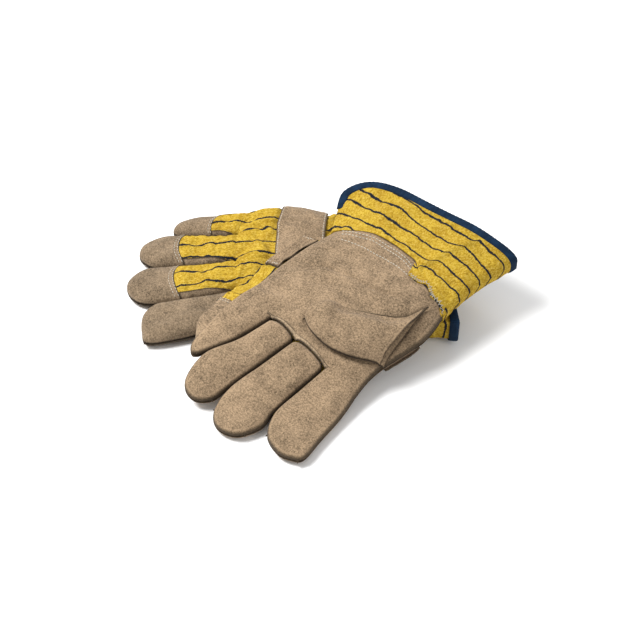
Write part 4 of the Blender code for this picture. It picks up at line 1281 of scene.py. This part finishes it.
def stitches(name, runs, body, pitch=2.9, length=2.1, radius=0.38):
    """Rows of thread: one short bead for each stitch, lying on the surface along the run."""
    vertices, faces, cloth = [], [], []
    rings = ((-0.5, 0.25), (-0.32, 0.85), (0.0, 1.0), (0.32, 0.85), (0.5, 0.25))
    sides = 6

    def read(values, place, gap):
        return np.array([np.interp(place, gap, values[:, i]) for i in range(3)])

    for points, normals in runs:
        gap = arc_along(points)
        for centre in np.arange(pitch / 2, gap[-1], pitch):
            here, ahead, behind = (read(points, centre + offset, gap) for offset in (0.0, 0.4, -0.4))
            normal = read(normals, centre, gap)
            along = (ahead - behind) / np.linalg.norm(ahead - behind)
            side = np.cross(normal, along)
            side /= np.linalg.norm(side)
            normal = np.cross(along, side)
            first = len(vertices)
            for part, wide in rings:
                arch = 0.30 * radius * (1 - (2 * part) ** 2) - 0.15 * radius
                middle = here + part * length * along + arch * normal
                for k in range(sides):
                    a = 2 * math.pi * k / sides
                    spoke = math.cos(a) * side + 0.8 * math.sin(a) * normal
                    vertices.append(middle + wide * radius * spoke)
                    cloth.append((centre + part * length, k * 0.2))
            for ring in range(len(rings) - 1):
                for k in range(sides):
                    a = first + ring * sides + k
                    b = first + ring * sides + (k + 1) % sides
                    faces.append((a, b, b + sides, a + sides))
            faces.append(tuple(first + k for k in range(sides))[::-1])
            last = first + (len(rings) - 1) * sides
            faces.append(tuple(last + k for k in range(sides)))
    obj = mesh_object(name, np.array(vertices) * MM, faces)
    keep_cloth(obj, np.array(cloth))
    obj.data.materials.append(MATERIALS["white_thread"])
    if body:
        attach(obj, body)
    return obj


def plan_runs(sheet, rows):
    """Each row of plan positions as a run of places and normals on a sheet."""
    return [sheet.at(traced(points, 90), 0.12) for points in rows]


def canvas_flap(glove, body):
    """The cuff's raw edge, overlocked and lying on the palm at the thumb side of the wrist."""
    wrist_edge, raw_edge = smooth_curve(FLAP_WRIST_EDGE), smooth_curve(FLAP_RAW_EDGE)

    def place(s, t):
        plan = (1 - t)[..., None] * wrist_edge(s) + t[..., None] * raw_edge(s)
        points = glove.surface(plan, True)
        wave = 0.5 + 0.5 * noise(plan, 5.0, 97)
        points[..., 2] += CANVAS + 0.5 + (0.5 + 0.9 * wave) * smooth_step(t)
        return plan, points

    sheet = Panel(glove, True, np.linspace(0, 1, int(44 / CELL)), np.linspace(0, 1, 10), place)
    sew(sheet, "cuff_raw_edge", "cuff_canvas", body=body)
    line = raw_edge(np.linspace(0.01, 0.99, 40))
    side = beside(unit(np.gradient(line, axis=0)))
    side *= np.sign(side[:, 1].mean())
    zigzag = line - (0.2 + 2.4 * (np.arange(40) % 2))[:, None] * side
    points, normals = sheet.at(zigzag, 0.25)
    runs = [(points[i:i + 2], normals[i:i + 2]) for i in range(39)]
    stitches("left_raw_edge_overlock", runs, body, pitch=1.8, length=2.4, radius=0.24)


def welt(glove, body):
    """The narrow leather strip in the seam at the base of the middle and ring fingers."""
    gaps = base_line(glove)
    path = np.array([gaps[2] + [2.5, 0.8], gaps[2], gaps[1], gaps[0], gaps[0] + [-1.5, -1.5]])
    count = 110
    line = traced(path, count)
    side = beside(unit(np.gradient(line, axis=0)))
    if side[:, 1].mean() > 0:
        side = -side
    width = 3.2 * np.sqrt(np.sin(np.pi * np.linspace(0.04, 0.96, count)))
    columns = np.linspace(0.0, 1.0, 7)
    plan = line[:, None] + (0.25 + columns[None, :, None] * width[:, None, None]) * side[:, None]
    points = glove.to_world(plan, glove.sheet_height(plan, True, glove.edge_distance(plan)))
    lift = 0.55 * np.sqrt(np.sin(np.pi * np.clip(columns, 0.03, 0.97)))[None, :]
    lift = lift + 0.12 * noise(plan, 7.0, 95)
    points[..., 2] += lift - 0.2
    sheet = Panel(glove, True, np.linspace(0, 1, count), columns, lambda s, t: (plan, points))
    sew(sheet, "finger_welt", "welt", body=body)


# ---------------------------------------------------------------- build both gloves

RIGHT = Glove("right", (25.0, 62.0), 180.0, RIGHT_PROFILE, RIGHT_PATTERN, table)
LEFT = Glove("left", (48.3, 28.1), 225.0, LEFT_PROFILE, LEFT_PATTERN, drape)

for glove in (RIGHT, LEFT):
    hand = HAND_BODY[glove.side]
    palm_sheet = palm(glove, hand)
    back(glove, hand)
    first_seed = 100 if glove is RIGHT else 150
    tips = {name: finger(glove, name, first_seed + 100 * i) for i, name in enumerate(FINGERS)}
    strap_sheet = knuckle_strap(glove, hand)
    cuff_sheet = cuff(glove, hand)
    binding(glove, hand)
    thumb(glove, hand if glove is RIGHT else "left_thumb")
    inner_layers(glove, hand)
    if glove is LEFT:
        welt(glove, hand)
        stitches("left_wrist_stitches", plan_runs(palm_sheet, WRIST_STITCHES), hand)
        stitches("left_cuff_stitches", plan_runs(cuff_sheet, CUFF_STITCHES), hand,
                 radius=0.26)
        canvas_flap(glove, hand)
    rows = [(strap_sheet.points[3:-3, j] + 0.12 * strap_sheet.normals[3:-3, j], strap_sheet.normals[3:-3, j])
            for j in (2, -3)]
    stitches(f"{glove.side}_strap_stitches", rows, hand)
    for name in CANVAS_BACKED:
        tip = tips[name]
        rows = []
        for distance in (1.0, 3.4):
            j = int(np.argmin(abs((tip.t - tip.t[0]) * FINGER_LENGTH - distance)))
            rows.append((tip.points[4:-4, j] + 0.1 * tip.normals[4:-4, j], tip.normals[4:-4, j]))
        obj = stitches(f"{glove.side}_{name}_tip_stitches", rows, None, radius=0.26)
        bend(obj, glove, name)


# ---------------------------------------------------------------- floor, light and camera

def studio():
    floor = mesh_object("floor", [(-3, -3, 0), (3, -3, 0), (3, 3, 0), (-3, 3, 0)], [(0, 1, 2, 3)])
    floor.location.z = -0.0004
    material = bpy.data.materials.new("pale_floor")
    material.use_nodes = True
    shader = material.node_tree.nodes["Principled BSDF"]
    shader.inputs["Base Color"].default_value = (0.92, 0.92, 0.92, 1)
    shader.inputs["Roughness"].default_value = 0.9
    floor.data.materials.append(material)

    world = bpy.data.worlds.new("studio")
    bpy.context.scene.world = world
    world.use_nodes = True
    background = world.node_tree.nodes["Background"]
    background.inputs["Color"].default_value = (1.0, 1.0, 1.0, 1)
    background.inputs["Strength"].default_value = 0.50

    for name, place, energy, size in (("key", (-0.55, 0.05, 0.85), 14.0, 0.40),
                                      ("fill", (0.8, -0.6, 0.6), 3.5, 0.8),
                                      ("back", (0.3, 0.9, 0.7), 4.0, 0.8)):
        light = bpy.data.lights.new(name, "AREA")
        light.energy = energy
        light.size = size
        lamp = bpy.data.objects.new(name, light)
        bpy.context.scene.collection.objects.link(lamp)
        lamp.location = place
        aim = -np.array(place) + np.array([0, 0, 0.02])
        lamp.rotation_mode = "QUATERNION"
        lamp.rotation_quaternion = Vector(aim).to_track_quat("-Z", "Y")


def photo_camera():
    """The camera looks down at 45 degrees from in front of the fingers' side."""
    target = Vector((0.0005, -0.00645, 0.015))
    elevation = math.radians(45.0)
    distance = 0.95
    data = bpy.data.cameras.new("camera")
    data.sensor_width = 36.0
    data.lens = 18.0 / math.tan(math.radians(27.6 / 2))
    camera = bpy.data.objects.new("camera", data)
    bpy.context.scene.collection.objects.link(camera)
    back_direction = Vector((0.0, -math.cos(elevation), math.sin(elevation)))
    camera.location = target + distance * back_direction
    camera.rotation_mode = "QUATERNION"
    camera.rotation_quaternion = (-back_direction).to_track_quat("-Z", "Y")
    bpy.context.scene.camera = camera


studio()
photo_camera()
bpy.context.scene.view_settings.view_transform = "Standard"
